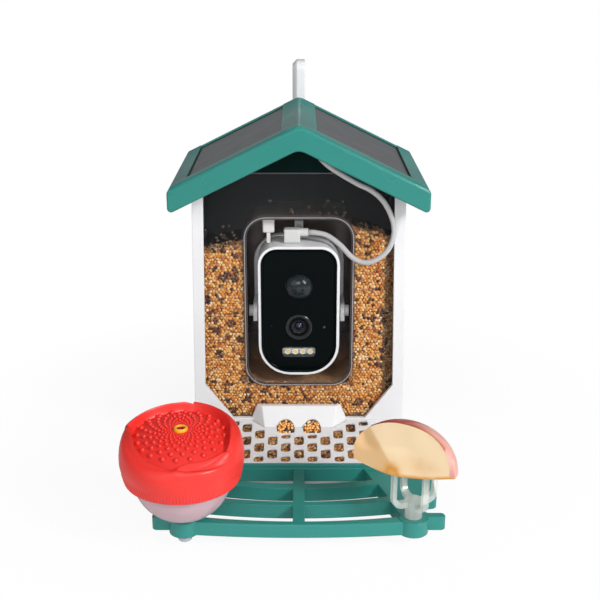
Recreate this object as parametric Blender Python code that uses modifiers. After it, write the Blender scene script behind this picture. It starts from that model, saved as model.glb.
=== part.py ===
"""Solar bird feeder with a camera, a seed tray, a green perch, a nectar feeder and a fruit fork.

Metres, +Z up. The origin is the middle of the flat foot that the feeder stands on, and the front
faces -Y. Heights on the body are counted from the foot, and the roof's eaves are the reference for
what hangs below them.
"""
import math

import bmesh
import bpy
from mathutils import Matrix, Vector

# Shared values
GAP = 0.0003            # air between two pieces that touch
OVERRUN = 0.003         # how far a cutter runs past the face that it cuts
MERGE = 0.00001

# Housing: the white box that holds the seed
BODY_DEPTH = 0.118
BODY_TOP_WIDTH = 0.168
BODY_FOOT_WIDTH = 0.1746
WALL = 0.0025
EAVE_HEIGHT = 0.236
FRAME_THICKNESS = 0.0037
BASE_HEIGHT = 0.030

# Roof
ROOF_SIDE_OVERHANG = 0.016
ROOF_FRONT_OVERHANG = 0.030
ROOF_REAR_OVERHANG = 0.005
ROOF_RISE = 0.0496
ROOF_BAND = 0.0175
ROOF_SKIN = 0.0045
ROOF_RIM = 0.0025
ROOF_CROWN_RADIUS = 0.010
ROOF_EDGE_RADIUS = 0.0012
ROOF_CORNER_RADIUS = 0.003
PANEL_INSET_FRONT = 0.018
PANEL_INSET_REAR = 0.006
PANEL_INSET_EAVE = 0.0125
PANEL_INSET_RIDGE = 0.0127
PANEL_RECESS = 0.0018
PANEL_THICKNESS = 0.0012
PANEL_CORNER_RADIUS = 0.002

# Roof hinge, along the left wall under the eave
HINGE_OUTSET = 0.0085
HINGE_DROP = 0.012
HINGE_SPACING = 0.080
KNUCKLE_RADIUS = 0.0036
KNUCKLE_LENGTH = 0.004
LUG_LENGTH = 0.008
HINGE_PIN_RADIUS = 0.0015
HINGE_HEAD_RADIUS = 0.0028
HINGE_HEAD_LENGTH = 0.0015

# Window and its camera pocket: rises are above the base, shares are of the height from base to eaves
WINDOW_THICKNESS = 0.002
FRAME_BORDER = 0.0088
WINDOW_CHAMFER = 0.0226
WINDOW_CORNER_RISE = 0.035
WINDOW_FOOT_RISE = 0.005
WINDOW_TOP_RISE = 0.008
POCKET_WIDTH = 0.087
POCKET_TOP_SHARE = 0.1383
POCKET_FOOT_SHARE = 0.8350
POCKET_RADIUS = 0.017
POCKET_DEPTH = 0.049
POCKET_WALL = 0.0018

# Seed outlet: the sloping hood at the foot of the window and its two arched holes
HOOD_TOP_RISE = 0.017
HOOD_REACH = 0.0112
HOOD_TOP_SIDE = 0.035
HOOD_CREST_SIDE = 0.031
HOOD_CREST_REACH = 0.0018
HOOD_FRONT_SIDE = 0.0284
HOOD_FOOT_SIDE = 0.041
HOOD_WALL = 0.0018
OUTLET_WIDTH = 0.0145
OUTLET_LENGTH = 0.014
OUTLET_SPACING = 0.022
OUTLET_FILLET = 0.002
OUTLET_FRONT_REACH = 0.0195
OUTLET_TILT = math.radians(28.0)
OUTLET_CUT_HEIGHT = 0.014

# Tray: the white pan in front of the body and the slotted deck that covers it
TRAY_REACH = 0.0598
PAN_WALL = 0.0017
TRAY_CORNER_RADIUS = 0.020
DECK_RISE = 0.0037
DECK_THICKNESS = 0.0016
DECK_SLOPE = math.radians(8.6)
SLOT_WIDTH = 0.0078
SLOT_LENGTH = 0.0130
SLOT_PITCH_X = 0.01075
SLOT_PITCH_Y = 0.0183
SLOT_RADIUS = 0.0022
SLOT_FIRST_REACH = 0.0119
SLOT_MARGIN = 0.0018
SLOT_FRONT_MARGIN = 0.0013
SEED_BED_DROP = 0.0006
FLOOR = 0.0025
HOPPER_FLOOR_THICKNESS = 0.002
HOPPER_FLOOR_FRONT = 0.0305
HOPPER_FLOOR_SLOPE = math.radians(19.0)

# Seed in the hopper, as the line of its top seen through the window
SEED_DROP_LEFT = 0.0540
SEED_DROP_MIDDLE = 0.0270
SEED_DROP_RIGHT = 0.0485
SEED_MIDDLE_SIDE = 0.026

# Camera: its heights are shares of the height from base to eaves, counted down from the eaves
CAMERA_WIDTH = 0.066
CAMERA_HEIGHT_SHARE = 0.5359
CAMERA_TOP_SHARE = 0.2471
CAMERA_DEPTH = 0.040
CAMERA_TOP_RADIUS = 0.0155
CAMERA_FOOT_RADIUS = 0.0262
CAMERA_WALL = 0.0022
CAMERA_RING = 0.0032
CAMERA_BACK_RADIUS = 0.009
FACE_THICKNESS = 0.003
FACE_SINK = 0.0006
PIR_RADIUS = 0.0108
PIR_DOME = 0.0052
PIR_SHARE = 0.4131
PIR_FLANGE = 0.0012
LENS_RADIUS = 0.0057
LENS_RING_RADIUS = 0.0104
LENS_SHARE = 0.5791
LENS_BARREL_LENGTH = 0.009
LENS_RING_THICKNESS = 0.0008
LENS_RING_WIDTH_SHARE = 0.78
LENS_GLASS_THICKNESS = 0.0016
LENS_GLASS_DOME = 0.0010
LED_SHARE = 0.6864
LED_STRIP_WIDTH = 0.027
LED_STRIP_HEIGHT = 0.0087
LED_STRIP_THICKNESS = 0.0012
LED_PITCH = 0.0062
LED_RADIUS = 0.0024
LED_LENGTH = 0.0014
LED_COUNT = 4
BOARD_WIDTH = 0.046
BOARD_HEIGHT_SHARE = 0.797
BOARD_THICKNESS = 0.0016
BOARD_SETBACK = 0.0145
SENSOR_SIZE = 0.012
CELL_RADIUS = 0.0091
CELL_LENGTH_SHARE = 0.589
CELL_SPACING = 0.0192

# Camera bracket and its screws
PIVOT_SHARE = 0.5437
PIVOT_SETBACK = 0.021
BRACKET_THICKNESS = 0.0033
BRACKET_SIDE = 0.0377
BRACKET_TOP_SHARE = 0.2573
BRACKET_BAR_DEPTH = 0.007
BRACKET_BACK_CLEARANCE = 0.0009
BRACKET_CORNER_RADIUS = 0.022
BRACKET_ARM_HEIGHT = 0.014
BRACKET_FOOT_RADIUS = 0.007
BRACKET_TAB_SIDE = 0.0036
BRACKET_TAB_RISE = 0.011
PIVOT_SCREW_RADIUS = 0.0016
PIVOT_HEAD_RADIUS = 0.0046
PIVOT_HEAD_LENGTH = 0.0034
PIVOT_SHANK_INSERT = 0.0012
BRACKET_SCREW_RADIUS = 0.0013
BRACKET_SCREW_HEAD = 0.0029
BRACKET_SCREW_HEAD_LENGTH = 0.0022
BRACKET_SCREW_LENGTH = 0.0085

# Plug, rubber port cap and cable
PLUG_WIDTH = 0.0132
PLUG_DEPTH = 0.0090
PLUG_HEIGHT = 0.0114
PLUG_SIDE = -0.0055
PLUG_SETBACK = 0.0085
PLUG_NECK_RADIUS = 0.0033
PLUG_NECK_LENGTH = 0.0065
PLUG_EDGE = 0.0012
CAP_WIDTH = 0.0094
CAP_HEIGHT_SHARE = 0.5130
CAP_THICKNESS = 0.0034
CAP_SIDE = -0.0245
CAP_SETBACK = 0.0125
CAP_STRAP_WIDTH = 0.0030
CAP_STRAP_THICKNESS = 0.0012
CAP_STRAP_SHARE = 0.4015
CAP_EDGE = 0.0008
CABLE_RADIUS = 0.0021
GROMMET_SIDE = 0.011
GROMMET_RISE = 0.029
GROMMET_RADIUS = 0.0042
GROMMET_FLANGE = 0.0056
GROMMET_LIP = 0.0014
GROMMET_NOSE = 0.0040

# Perch
PERCH_TOP = 0.021
PERCH_FOOT = 0.010
PERCH_RAIL = 0.0030
PERCH_HALF_WIDTH = 0.104
PERCH_SPINE = 0.0087
PERCH_REACH = 0.1474
PERCH_FRONT_RADIUS = 0.724
BAR_TWO_REAR = 0.0872
BAR_TWO_FRONT = 0.0947
BAR_TWO_REAR_RADIUS = 0.265
BAR_TWO_FRONT_RADIUS = 0.280
BAR_THREE_REAR = 0.1142
BAR_THREE_FRONT = 0.1199
BAR_THREE_REAR_RADIUS = 0.295
BAR_THREE_FRONT_RADIUS = 0.400
BAR_FRONT_REAR = 0.1423
BAR_FRONT_REAR_RADIUS = 0.400
SLOT_ONE_INSET = 0.0103
SLOT_TWO_SIDE = 0.0668
SLOT_THREE_SIDE = 0.0740
SLOT_SLANT = 0.006
NOTCH_SIDE = 0.0930
BOSS_SIDE = 0.0829
BOSS_REACH = 0.1355
BOSS_RADIUS = 0.0112
BOSS_BORE = 0.0057
EAR_SIDE = 0.1066
EAR_THICKNESS = 0.0072
EAR_ROUND_SHARE = 0.9
BOSS_LIP = 0.0004
EAR_REACH = 0.1332
PERCH_CORNER_RADIUS = 0.004
PERCH_EDGE = 0.0008
ARC_STEPS = 10
PERCH_SCREW_RADIUS = 0.0013
PERCH_SCREW_HEAD = 0.0026
PERCH_SCREW_HEAD_LENGTH = 0.0015
PERCH_SCREW_LENGTH = 0.0085
PERCH_SCREW_INSET = 0.0053

# Nectar feeder
PEG_RADIUS = 0.0055
PEG_LENGTH = 0.0197
BOWL_RADIUS = 0.0360
BOWL_RIM_RADIUS = 0.0368
BOWL_WALL = 0.0016
BOWL_CENTRE_RISE = 0.0357
BOWL_FOOT_RADIUS = 0.0085
BOWL_RIM_RISE = 0.0640
LID_TOP_RISE = 0.0690
LID_RIM_RISE = 0.0718
LID_WIDE_RISE = 0.0470
LID_SKIRT_RISE = 0.0325
LID_RADIUS = 0.0443
LID_SKIRT_RADIUS = 0.0412
LID_RIM_RADIUS = 0.0360
LID_DISC_RADIUS = 0.0325
LID_SHOULDER_RADIUS = 0.0415
LID_SHOULDER_RISE = 0.0625
LID_THICKNESS = 0.0022
LID_CEILING_RISE = 0.0643
LID_BORE = 0.0036
PORT_RADIUS = 0.0050
PORT_BORE = 0.0020
PORT_HEIGHT = 0.0015
PORT_TUBE_LENGTH = 0.009

# Fruit fork and apple wedge
FORK_PEG_RADIUS = 0.0054
FORK_PEG_LENGTH = 0.0112
FORK_HUB_RADIUS = 0.0065
FORK_ARM_RISE = 0.0090
FORK_ARM_HEIGHT = 0.0046
FORK_RADIUS = 0.0164
FORK_PRONG_WIDTH = 0.0044
FORK_PRONG_THICKNESS = 0.0030
FORK_PRONG_TOP = 0.0520
FORK_BEND_RADIUS = 0.0080
FORK_TURN = math.radians(21.5)
PRONG_COUNT = 4
APPLE_HALF_LENGTH = 0.0388
APPLE_RADIUS = 0.0330
APPLE_RISE = 0.0461
APPLE_SIDE_SHIFT = -0.0100
APPLE_FRONT_SHIFT = -0.0120
APPLE_YAW = math.radians(-30.0)
APPLE_LEAN = math.radians(86.0)
APPLE_SLOT_CLEARANCE = 0.0008
APPLE_CORE_SHIFT = 0.0013

# Hanging hook and its bracket on the back
BACK_PLATE_WIDTH = 0.070
BACK_PLATE_THICKNESS = 0.0042
BACK_PLATE_TOP_DROP = 0.004
BACK_PLATE_FOOT = 0.070
BACK_PLATE_RADIUS = 0.008
SOCKET_WIDTH = 0.020
SOCKET_REACH = 0.0245
SOCKET_HEIGHT = 0.026
SOCKET_EDGE = 0.002
HOOK_PEG_RADIUS = 0.0042
HOOK_CLEARANCE = 0.00005
HOOK_REACH = 0.0150
HOOK_BAR_WIDTH = 0.0072
HOOK_BAR_DEPTH = 0.0062
HOOK_SPAN = 0.0260
HOOK_CORNER_RADIUS = 0.0080
HOOK_TOP_RISE = 0.0800
HOOK_TIP_LENGTH = 0.016
HOOK_TURN = math.radians(8.0)
HOOK_EDGE = 0.0012
HOOK_COLLAR_RADIUS = 0.0062
HOOK_COLLAR_HEIGHT = 0.003
HOOK_PEG_LENGTH = 0.020
CLIP_RADIUS = 0.0062
CLIP_THICKNESS = 0.0012
CLIP_BORE_SHARE = 1.06
CLIP_SLIT = 0.0040
SCREW_RADIUS = 0.0015
SCREW_HEAD_RADIUS = 0.0034
SCREW_HEAD_LENGTH = 0.0018
SCREW_LENGTH = 0.0062
BACK_SCREW_SIDE = 0.026
BACK_SCREW_INSET = 0.012

# Worked-out places
FRONT_Y = -BODY_DEPTH / 2
REAR_Y = BODY_DEPTH / 2
FRAME_BACK_Y = FRONT_Y + FRAME_THICKNESS
WINDOW_FRONT_Y = FRAME_BACK_Y + GAP
WINDOW_BACK_Y = WINDOW_FRONT_Y + WINDOW_THICKNESS
ROOF_WIDTH = BODY_TOP_WIDTH + 2 * ROOF_SIDE_OVERHANG
ROOF_FRONT_Y = FRONT_Y - ROOF_FRONT_OVERHANG
ROOF_REAR_Y = REAR_Y + ROOF_REAR_OVERHANG
ROOF_DEPTH = ROOF_REAR_Y - ROOF_FRONT_Y
ROOF_PITCH = math.atan2(ROOF_RISE, ROOF_WIDTH / 2)
HOUSING_FOOT = BASE_HEIGHT + GAP
TRAY_FRONT_Y = FRONT_Y - TRAY_REACH
PAN_FRONT_Y = TRAY_FRONT_Y
BASE_SIDE = BODY_FOOT_WIDTH / 2
DECK_HEIGHT = BASE_HEIGHT + DECK_RISE
FACE_HEIGHT = EAVE_HEIGHT - BASE_HEIGHT
WINDOW_CORNER_Z = BASE_HEIGHT + WINDOW_CORNER_RISE
WINDOW_FOOT_Z = BASE_HEIGHT + WINDOW_FOOT_RISE
HOOD_TOP_Z = BASE_HEIGHT + HOOD_TOP_RISE
POCKET_TOP_Z = EAVE_HEIGHT - POCKET_TOP_SHARE * FACE_HEIGHT
POCKET_FOOT_Z = EAVE_HEIGHT - POCKET_FOOT_SHARE * FACE_HEIGHT
CAMERA_HEIGHT = CAMERA_HEIGHT_SHARE * FACE_HEIGHT
BOARD_HEIGHT = BOARD_HEIGHT_SHARE * CAMERA_HEIGHT
CELL_LENGTH = CELL_LENGTH_SHARE * CAMERA_HEIGHT
BRACKET_TOP_Z = EAVE_HEIGHT - BRACKET_TOP_SHARE * FACE_HEIGHT
RAIL_SIDE = BASE_SIDE - TRAY_CORNER_RADIUS
SLOT_ONE_SIDE = RAIL_SIDE - SLOT_ONE_INSET
PERCH_SCREW_SIDE = RAIL_SIDE - PERCH_SCREW_INSET
BOSS_TOP = PERCH_TOP + BOSS_LIP
BOSS_Y = FRONT_Y - BOSS_REACH
PIVOT_Y = FRONT_Y + PIVOT_SETBACK
PIVOT_Z = EAVE_HEIGHT - PIVOT_SHARE * FACE_HEIGHT
POCKET_BACK_Y = WINDOW_FRONT_Y + POCKET_DEPTH
HINGE_X = -BODY_TOP_WIDTH / 2 - HINGE_OUTSET
HINGE_Z = EAVE_HEIGHT - HINGE_DROP
CAMERA_TOP = EAVE_HEIGHT - CAMERA_TOP_SHARE * FACE_HEIGHT
CAP_HEIGHT = CAP_HEIGHT_SHARE * (POCKET_TOP_Z - CAMERA_TOP)
CAP_STRAP_LENGTH = CAP_STRAP_SHARE * (POCKET_TOP_Z - CAMERA_TOP)
PLUG_X = PLUG_SIDE
PLUG_Y = FRONT_Y + PLUG_SETBACK + PLUG_DEPTH / 2
NECK_Z = CAMERA_TOP + GAP + PLUG_HEIGHT - PLUG_NECK_RADIUS
NECK_END_X = PLUG_X + PLUG_WIDTH / 2 + PLUG_NECK_LENGTH
GROMMET_Z = EAVE_HEIGHT + GROMMET_RISE
GROMMET_FACE_Y = WINDOW_FRONT_Y - GROMMET_LIP - GROMMET_NOSE
HOOK_Y = REAR_Y + HOOK_REACH


def clear_scene():
    """Remove every object that the file starts with."""
    for item in list(bpy.data.objects):
        bpy.data.objects.remove(item, do_unlink=True)


clear_scene()
PARTS = bpy.data.collections.new("solar_bird_feeder")
CUTTERS = bpy.data.collections.new("cutters")
bpy.context.scene.collection.children.link(PARTS)
bpy.context.scene.collection.children.link(CUTTERS)


def finish(name, colour, roughness, metallic=0.0, alpha=1.0):
    """A plain Principled material in the piece's colour."""
    material = bpy.data.materials.new(name)
    material.use_nodes = True
    shader = material.node_tree.nodes["Principled BSDF"]
    shader.inputs["Base Color"].default_value = (*colour, 1.0)
    shader.inputs["Roughness"].default_value = roughness
    shader.inputs["Metallic"].default_value = metallic
    shader.inputs["Alpha"].default_value = alpha
    material.diffuse_color = (*colour, alpha)
    return material


WHITE = ((0.86, 0.87, 0.88), 0.42)
GREEN = ((0.050, 0.330, 0.290), 0.38)
DARK_GREEN = ((0.012, 0.070, 0.062), 0.5)
CLEAR = ((0.80, 0.82, 0.84), 0.08, 0.0, 0.35)
BLACK = ((0.006, 0.010, 0.011), 0.10)
SEED = ((0.52, 0.30, 0.11), 0.8)
STEEL = ((0.62, 0.62, 0.63), 0.3, 1.0)


def piece(name, mesh, look, smooth=True):
    """One named sub-part with its own material, in the parts collection."""
    thing = bpy.data.objects.new(name, mesh)
    PARTS.objects.link(thing)
    thing.data.materials.append(finish(name, *look))
    if smooth:
        thing.data.shade_smooth()
        thing.data.set_sharp_from_angle(angle=math.radians(35))
    return thing


def cutter(name, mesh):
    """A shape that is only cut away from, or added to, another one."""
    thing = bpy.data.objects.new(name, mesh)
    CUTTERS.objects.link(thing)
    thing.hide_render = True
    thing.display_type = "WIRE"
    return thing


def mesh_of(bm, name):
    """Close a bmesh into a mesh with its faces pointing out."""
    bmesh.ops.recalc_face_normals(bm, faces=bm.faces)
    mesh = bpy.data.meshes.new(name)
    bm.to_mesh(mesh)
    bm.free()
    return mesh


def prism(axis, outline, low, high, name="prism"):
    """A flat outline pushed along an axis from low to high. X takes (y, z), Y takes (x, z), Z takes (x, y)."""
    place = {
        "X": lambda u, v, w: (w, u, v),
        "Y": lambda u, v, w: (u, w, v),
        "Z": lambda u, v, w: (u, v, w),
    }[axis]
    bm = bmesh.new()
    face = bm.faces.new([bm.verts.new(place(u, v, low)) for u, v in outline])
    moved = bmesh.ops.extrude_face_region(bm, geom=[face])
    corners = [item for item in moved["geom"] if isinstance(item, bmesh.types.BMVert)]
    step = Vector(place(0.0, 0.0, high)) - Vector(place(0.0, 0.0, low))
    bmesh.ops.translate(bm, verts=corners, vec=step)
    return mesh_of(bm, name)


def block(x_low, x_high, y_low, y_high, z_low, z_high, name="block"):
    """A box between three pairs of planes."""
    bm = bmesh.new()
    bmesh.ops.create_cube(bm, size=1.0)
    size = Matrix.Diagonal((x_high - x_low, y_high - y_low, z_high - z_low, 1.0))
    middle = Vector((x_low + x_high, y_low + y_high, z_low + z_high)) / 2
    bmesh.ops.transform(bm, matrix=Matrix.Translation(middle) @ size, verts=bm.verts)
    return mesh_of(bm, name)


def rod(axis, radius, low, high, u=0.0, v=0.0, steps=20, name="rod"):
    """A round bar along an axis from low to high, through the point (u, v) of the plane across it."""
    bm = bmesh.new()
    bmesh.ops.create_cone(
        bm, cap_ends=True, segments=steps, radius1=radius, radius2=radius, depth=high - low
    )
    turn = {
        "X": Matrix.Rotation(math.pi / 2, 4, "Y"),
        "Y": Matrix.Rotation(math.pi / 2, 4, "X"),
        "Z": Matrix.Identity(4),
    }[axis]
    middle = (low + high) / 2
    spot = {"X": (middle, u, v), "Y": (u, middle, v), "Z": (u, v, middle)}[axis]
    bmesh.ops.transform(bm, matrix=Matrix.Translation(spot) @ turn, verts=bm.verts)
    return mesh_of(bm, name)


def hull(points, name="hull"):
    """The convex body round a set of points."""
    bm = bmesh.new()
    for point in points:
        bm.verts.new(point)
    result = bmesh.ops.convex_hull(bm, input=bm.verts)
    spare = [item for item in result["geom_interior"] if isinstance(item, bmesh.types.BMVert)]
    bmesh.ops.delete(bm, geom=spare, context="VERTS")
    return mesh_of(bm, name)


def rounded(corners, steps=4):
    """A closed outline from corners (u, v, radius), each one turned into an arc of its radius."""
    outline = []
    for index, (u, v, radius) in enumerate(corners):
        here = Vector((u, v))
        if radius <= 0.0:
            outline.append(tuple(here))
            continue
        before = Vector(corners[index - 1][:2]) - here
        after = Vector(corners[(index + 1) % len(corners)][:2]) - here
        before.normalize()
        after.normalize()
        half = before.angle(after) / 2
        middle = here + (before + after).normalized() * (radius / math.sin(half))
        start = here + before * (radius / math.tan(half)) - middle
        end = here + after * (radius / math.tan(half)) - middle
        sweep = start.angle_signed(end)
        for step in range(steps + 1):
            angle = -sweep * step / steps
            turned_start = Vector(
                (
                    start.x * math.cos(angle) - start.y * math.sin(angle),
                    start.x * math.sin(angle) + start.y * math.cos(angle),
                )
            )
            outline.append(tuple(middle + turned_start))
    return outline


def rounded_box(u_side, v_low, v_high, radius, steps=5):
    """A rounded rectangle outline, symmetric in u."""
    return rounded(
        [
            (-u_side, v_low, radius),
            (u_side, v_low, radius),
            (u_side, v_high, radius),
            (-u_side, v_high, radius),
        ],
        steps,
    )


def arc_points(centre_y, radius, x_low, x_high, steps=ARC_STEPS):
    """Points of a flat arc that bows towards the front, its foremost point at centre_y."""
    points = []
    for step in range(steps + 1):
        x = x_low + (x_high - x_low) * step / steps
        points.append((x, centre_y + radius - math.sqrt(radius * radius - x * x)))
    return points


def turned(name, profile, steps=32):
    """A body turned about Z from a profile of (radius, height) that runs from the top down its outer side."""
    bm = bmesh.new()
    corners = [bm.verts.new((radius, 0.0, height)) for radius, height in profile]
    for first, second in zip(corners, corners[1:]):
        bm.edges.new((first, second))
    if profile[0][0] > 0.0:
        bm.edges.new((corners[-1], corners[0]))
    mesh = bpy.data.meshes.new(name)
    bm.to_mesh(mesh)
    bm.free()
    return mesh, steps


def spin(thing, steps):
    """Turn a profile once round Z."""
    screw = thing.modifiers.new("turn", "SCREW")
    screw.steps = steps
    screw.render_steps = steps
    screw.use_merge_vertices = True
    screw.merge_threshold = MERGE
    return thing


def turned_piece(name, profile, look, steps=32):
    """A turned sub-part."""
    mesh, count = turned(name, profile, steps)
    thing = bpy.data.objects.new(name, mesh)
    PARTS.objects.link(thing)
    thing.data.materials.append(finish(name, *look))
    screw = spin(thing, count)
    return screw


def turned_cutter(name, profile, steps=32):
    """A turned cutter."""
    mesh, count = turned(name, profile, steps)
    return spin(cutter(name, mesh), count)


def combine(thing, other, operation):
    """A Boolean between a sub-part and a helper shape."""
    change = thing.modifiers.new(operation.lower(), "BOOLEAN")
    change.operation = operation
    change.object = other
    change.solver = "EXACT"
    return thing


def cut(thing, mesh_or_object, name="cut"):
    """Take a shape away."""
    other = mesh_or_object
    if isinstance(other, bpy.types.Mesh):
        other = cutter(f"{thing.name}_{name}", other)
    return combine(thing, other, "DIFFERENCE")


def join(thing, mesh_or_object, name="join"):
    """Add a shape."""
    other = mesh_or_object
    if isinstance(other, bpy.types.Mesh):
        other = cutter(f"{thing.name}_{name}", other)
    return combine(thing, other, "UNION")


def soften(thing, width, segments=1, angle=40):
    """Round the sharp edges."""
    bevel = thing.modifiers.new("edges", "BEVEL")
    bevel.width = width
    bevel.segments = segments
    bevel.limit_method = "ANGLE"
    bevel.angle_limit = math.radians(angle)
    bevel.use_clamp_overlap = True
    return thing


def side_at(height):
    """Half the body's width at a height: the walls draw in a little towards the top."""
    share = (height - HOUSING_FOOT) / (EAVE_HEIGHT - HOUSING_FOOT)
    return BODY_FOOT_WIDTH / 2 + (BODY_TOP_WIDTH - BODY_FOOT_WIDTH) / 2 * share


def roof_top(x):
    """Height of the roof's outer surface at a distance from the ridge."""
    return EAVE_HEIGHT + ROOF_RISE * (1 - abs(x) / (ROOF_WIDTH / 2))


def roof_under(x):
    """Height of the roof's underside."""
    return roof_top(x) - ROOF_SKIN


def deck_z(y):
    """Height of the tray deck's upper face at a place in front of the body."""
    return DECK_HEIGHT - math.tan(DECK_SLOPE) * (FRONT_Y - y)


def gable_outline(foot, inset=0.0):
    """The body's front view: straight tapered walls under a gable that follows the roof."""
    top_side = BODY_TOP_WIDTH / 2 - inset
    return [
        (-side_at(foot) + inset, foot),
        (side_at(foot) - inset, foot),
        (top_side, roof_under(top_side) - GAP),
        (0.0, roof_under(0.0) - GAP),
        (-top_side, roof_under(top_side) - GAP),
    ]


def hopper_outline(foot, top):
    """The space between the housing's side walls, open upwards."""
    return [
        (-side_at(foot) + WALL, foot),
        (side_at(foot) - WALL, foot),
        (BODY_TOP_WIDTH / 2 - WALL, EAVE_HEIGHT),
        (BODY_TOP_WIDTH / 2 - WALL, top),
        (-BODY_TOP_WIDTH / 2 + WALL, top),
        (-BODY_TOP_WIDTH / 2 + WALL, EAVE_HEIGHT),
    ]


def hinge_stations():
    """The two places along the left wall where the roof is hinged."""
    return (-HINGE_SPACING / 2, HINGE_SPACING / 2)


def make_housing():
    """Side walls, back wall with its gable, and the two hinge lugs."""
    housing = piece(
        "housing_shell",
        prism("Y", gable_outline(HOUSING_FOOT), WINDOW_FRONT_Y, REAR_Y),
        WHITE,
    )
    cavity = hopper_outline(HOUSING_FOOT - OVERRUN, roof_top(0.0) + OVERRUN)
    cut(housing, prism("Y", cavity, WINDOW_FRONT_Y - OVERRUN, REAR_Y - WALL), "cavity")
    for station in hinge_stations():
        low, high = station - LUG_LENGTH / 2, station + LUG_LENGTH / 2
        arm = block(
            HINGE_X, -BODY_TOP_WIDTH / 2 + WALL / 2, low, high,
            HINGE_Z - KNUCKLE_RADIUS, HINGE_Z + KNUCKLE_RADIUS,
        )
        join(housing, arm, "lug_arm")
        join(housing, rod("Y", KNUCKLE_RADIUS, low, high, HINGE_X, HINGE_Z, 16), "lug_end")
        bore = rod(
            "Y", HINGE_PIN_RADIUS + GAP, low - OVERRUN, high + OVERRUN, HINGE_X, HINGE_Z, 12
        )
        cut(housing, bore, "lug_bore")
    for height in screw_heights():
        for side in (-BACK_SCREW_SIDE, BACK_SCREW_SIDE):
            hole = rod(
                "Y", SCREW_RADIUS + GAP, REAR_Y - WALL - OVERRUN, REAR_Y + OVERRUN, side, height, 10
            )
            cut(housing, hole, "screw_hole")


def screw_heights():
    """Heights of the back plate's screws."""
    return (
        BACK_PLATE_FOOT + BACK_SCREW_INSET,
        EAVE_HEIGHT - BACK_PLATE_TOP_DROP - SOCKET_HEIGHT - BACK_SCREW_INSET,
    )


def window_opening():
    """The chamfered opening of the front frame, open at the top."""
    top = roof_top(0.0) + OVERRUN
    top_side = BODY_TOP_WIDTH / 2 - FRAME_BORDER
    corner_side = side_at(WINDOW_CORNER_Z) - FRAME_BORDER
    foot_side = corner_side - WINDOW_CHAMFER
    return [
        (-foot_side, WINDOW_FOOT_Z),
        (foot_side, WINDOW_FOOT_Z),
        (corner_side, WINDOW_CORNER_Z),
        (top_side, EAVE_HEIGHT),
        (top_side, top),
        (-top_side, top),
        (-top_side, EAVE_HEIGHT),
        (-corner_side, WINDOW_CORNER_Z),
    ]


def hood_points(wall=0.0):
    """Corners of the outlet hood, or of the space inside it when a wall is taken off."""
    root = FRONT_Y + FRAME_THICKNESS / 2
    back = root if wall == 0.0 else FRAME_BACK_Y + OVERRUN
    foot = BASE_HEIGHT if wall == 0.0 else BASE_HEIGHT - OVERRUN
    foot += GAP if wall == 0.0 else 0.0
    crest = HOOD_TOP_Z - wall
    front = FRONT_Y - HOOD_REACH + wall
    crest_y = FRONT_Y - HOOD_CREST_REACH + wall
    knee = deck_z(front)
    points = []
    for hand in (-1, 1):
        points += [
            (hand * (HOOD_TOP_SIDE - wall), back, crest),
            (hand * (HOOD_CREST_SIDE - wall), crest_y, crest),
            (hand * (HOOD_FRONT_SIDE - wall), front, knee),
            (hand * (HOOD_FRONT_SIDE - wall), front, foot),
            (hand * (HOOD_FOOT_SIDE - wall), back, knee),
            (hand * (HOOD_FOOT_SIDE - wall), back, foot),
        ]
    return points


def outlet_cutter(name, side):
    """An arch with a flat front edge, tilted so that it opens the hood's face and the deck before it."""
    radius = OUTLET_WIDTH / 2
    straight = OUTLET_LENGTH - radius
    arch = [
        (radius * math.cos(angle), straight + radius * math.sin(angle))
        for angle in (math.pi * step / 10 for step in range(11))
    ]
    mesh = prism("Z", arch + flat_end(radius), -OUTLET_CUT_HEIGHT / 2, OUTLET_CUT_HEIGHT / 2)
    shape = cutter(name, mesh)
    front_y = FRONT_Y - OUTLET_FRONT_REACH
    shape.matrix_world = (
        Matrix.Translation((side, front_y, deck_z(front_y)))
        @ Matrix.Rotation(OUTLET_TILT, 4, "X")
    )
    return shape


def flat_end(radius):
    """The front end of an outlet: a straight edge between two small fillets."""
    turns = [math.pi / 2 * step / 3 for step in range(4)]
    fillet = [
        (radius - OUTLET_FILLET * (1 - math.cos(turn)), OUTLET_FILLET * (1 - math.sin(turn)))
        for turn in turns
    ]
    return [(-u, v) for u, v in fillet] + fillet[::-1]


def make_front_frame():
    """The white bezel round the window, with the seed outlet hood at its foot."""
    frame = piece("front_frame", prism("Y", gable_outline(HOUSING_FOOT), FRONT_Y, FRAME_BACK_Y), WHITE)
    cut(frame, prism("Y", window_opening(), FRONT_Y - OVERRUN, FRAME_BACK_Y + OVERRUN), "opening")
    join(frame, hull(hood_points()), "hood")
    cut(frame, hull(hood_points(HOOD_WALL)), "hood_inside")
    for index, side in enumerate((-OUTLET_SPACING / 2, OUTLET_SPACING / 2)):
        cut(frame, outlet_cutter(f"outlet_cut_{index}", side))


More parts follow.
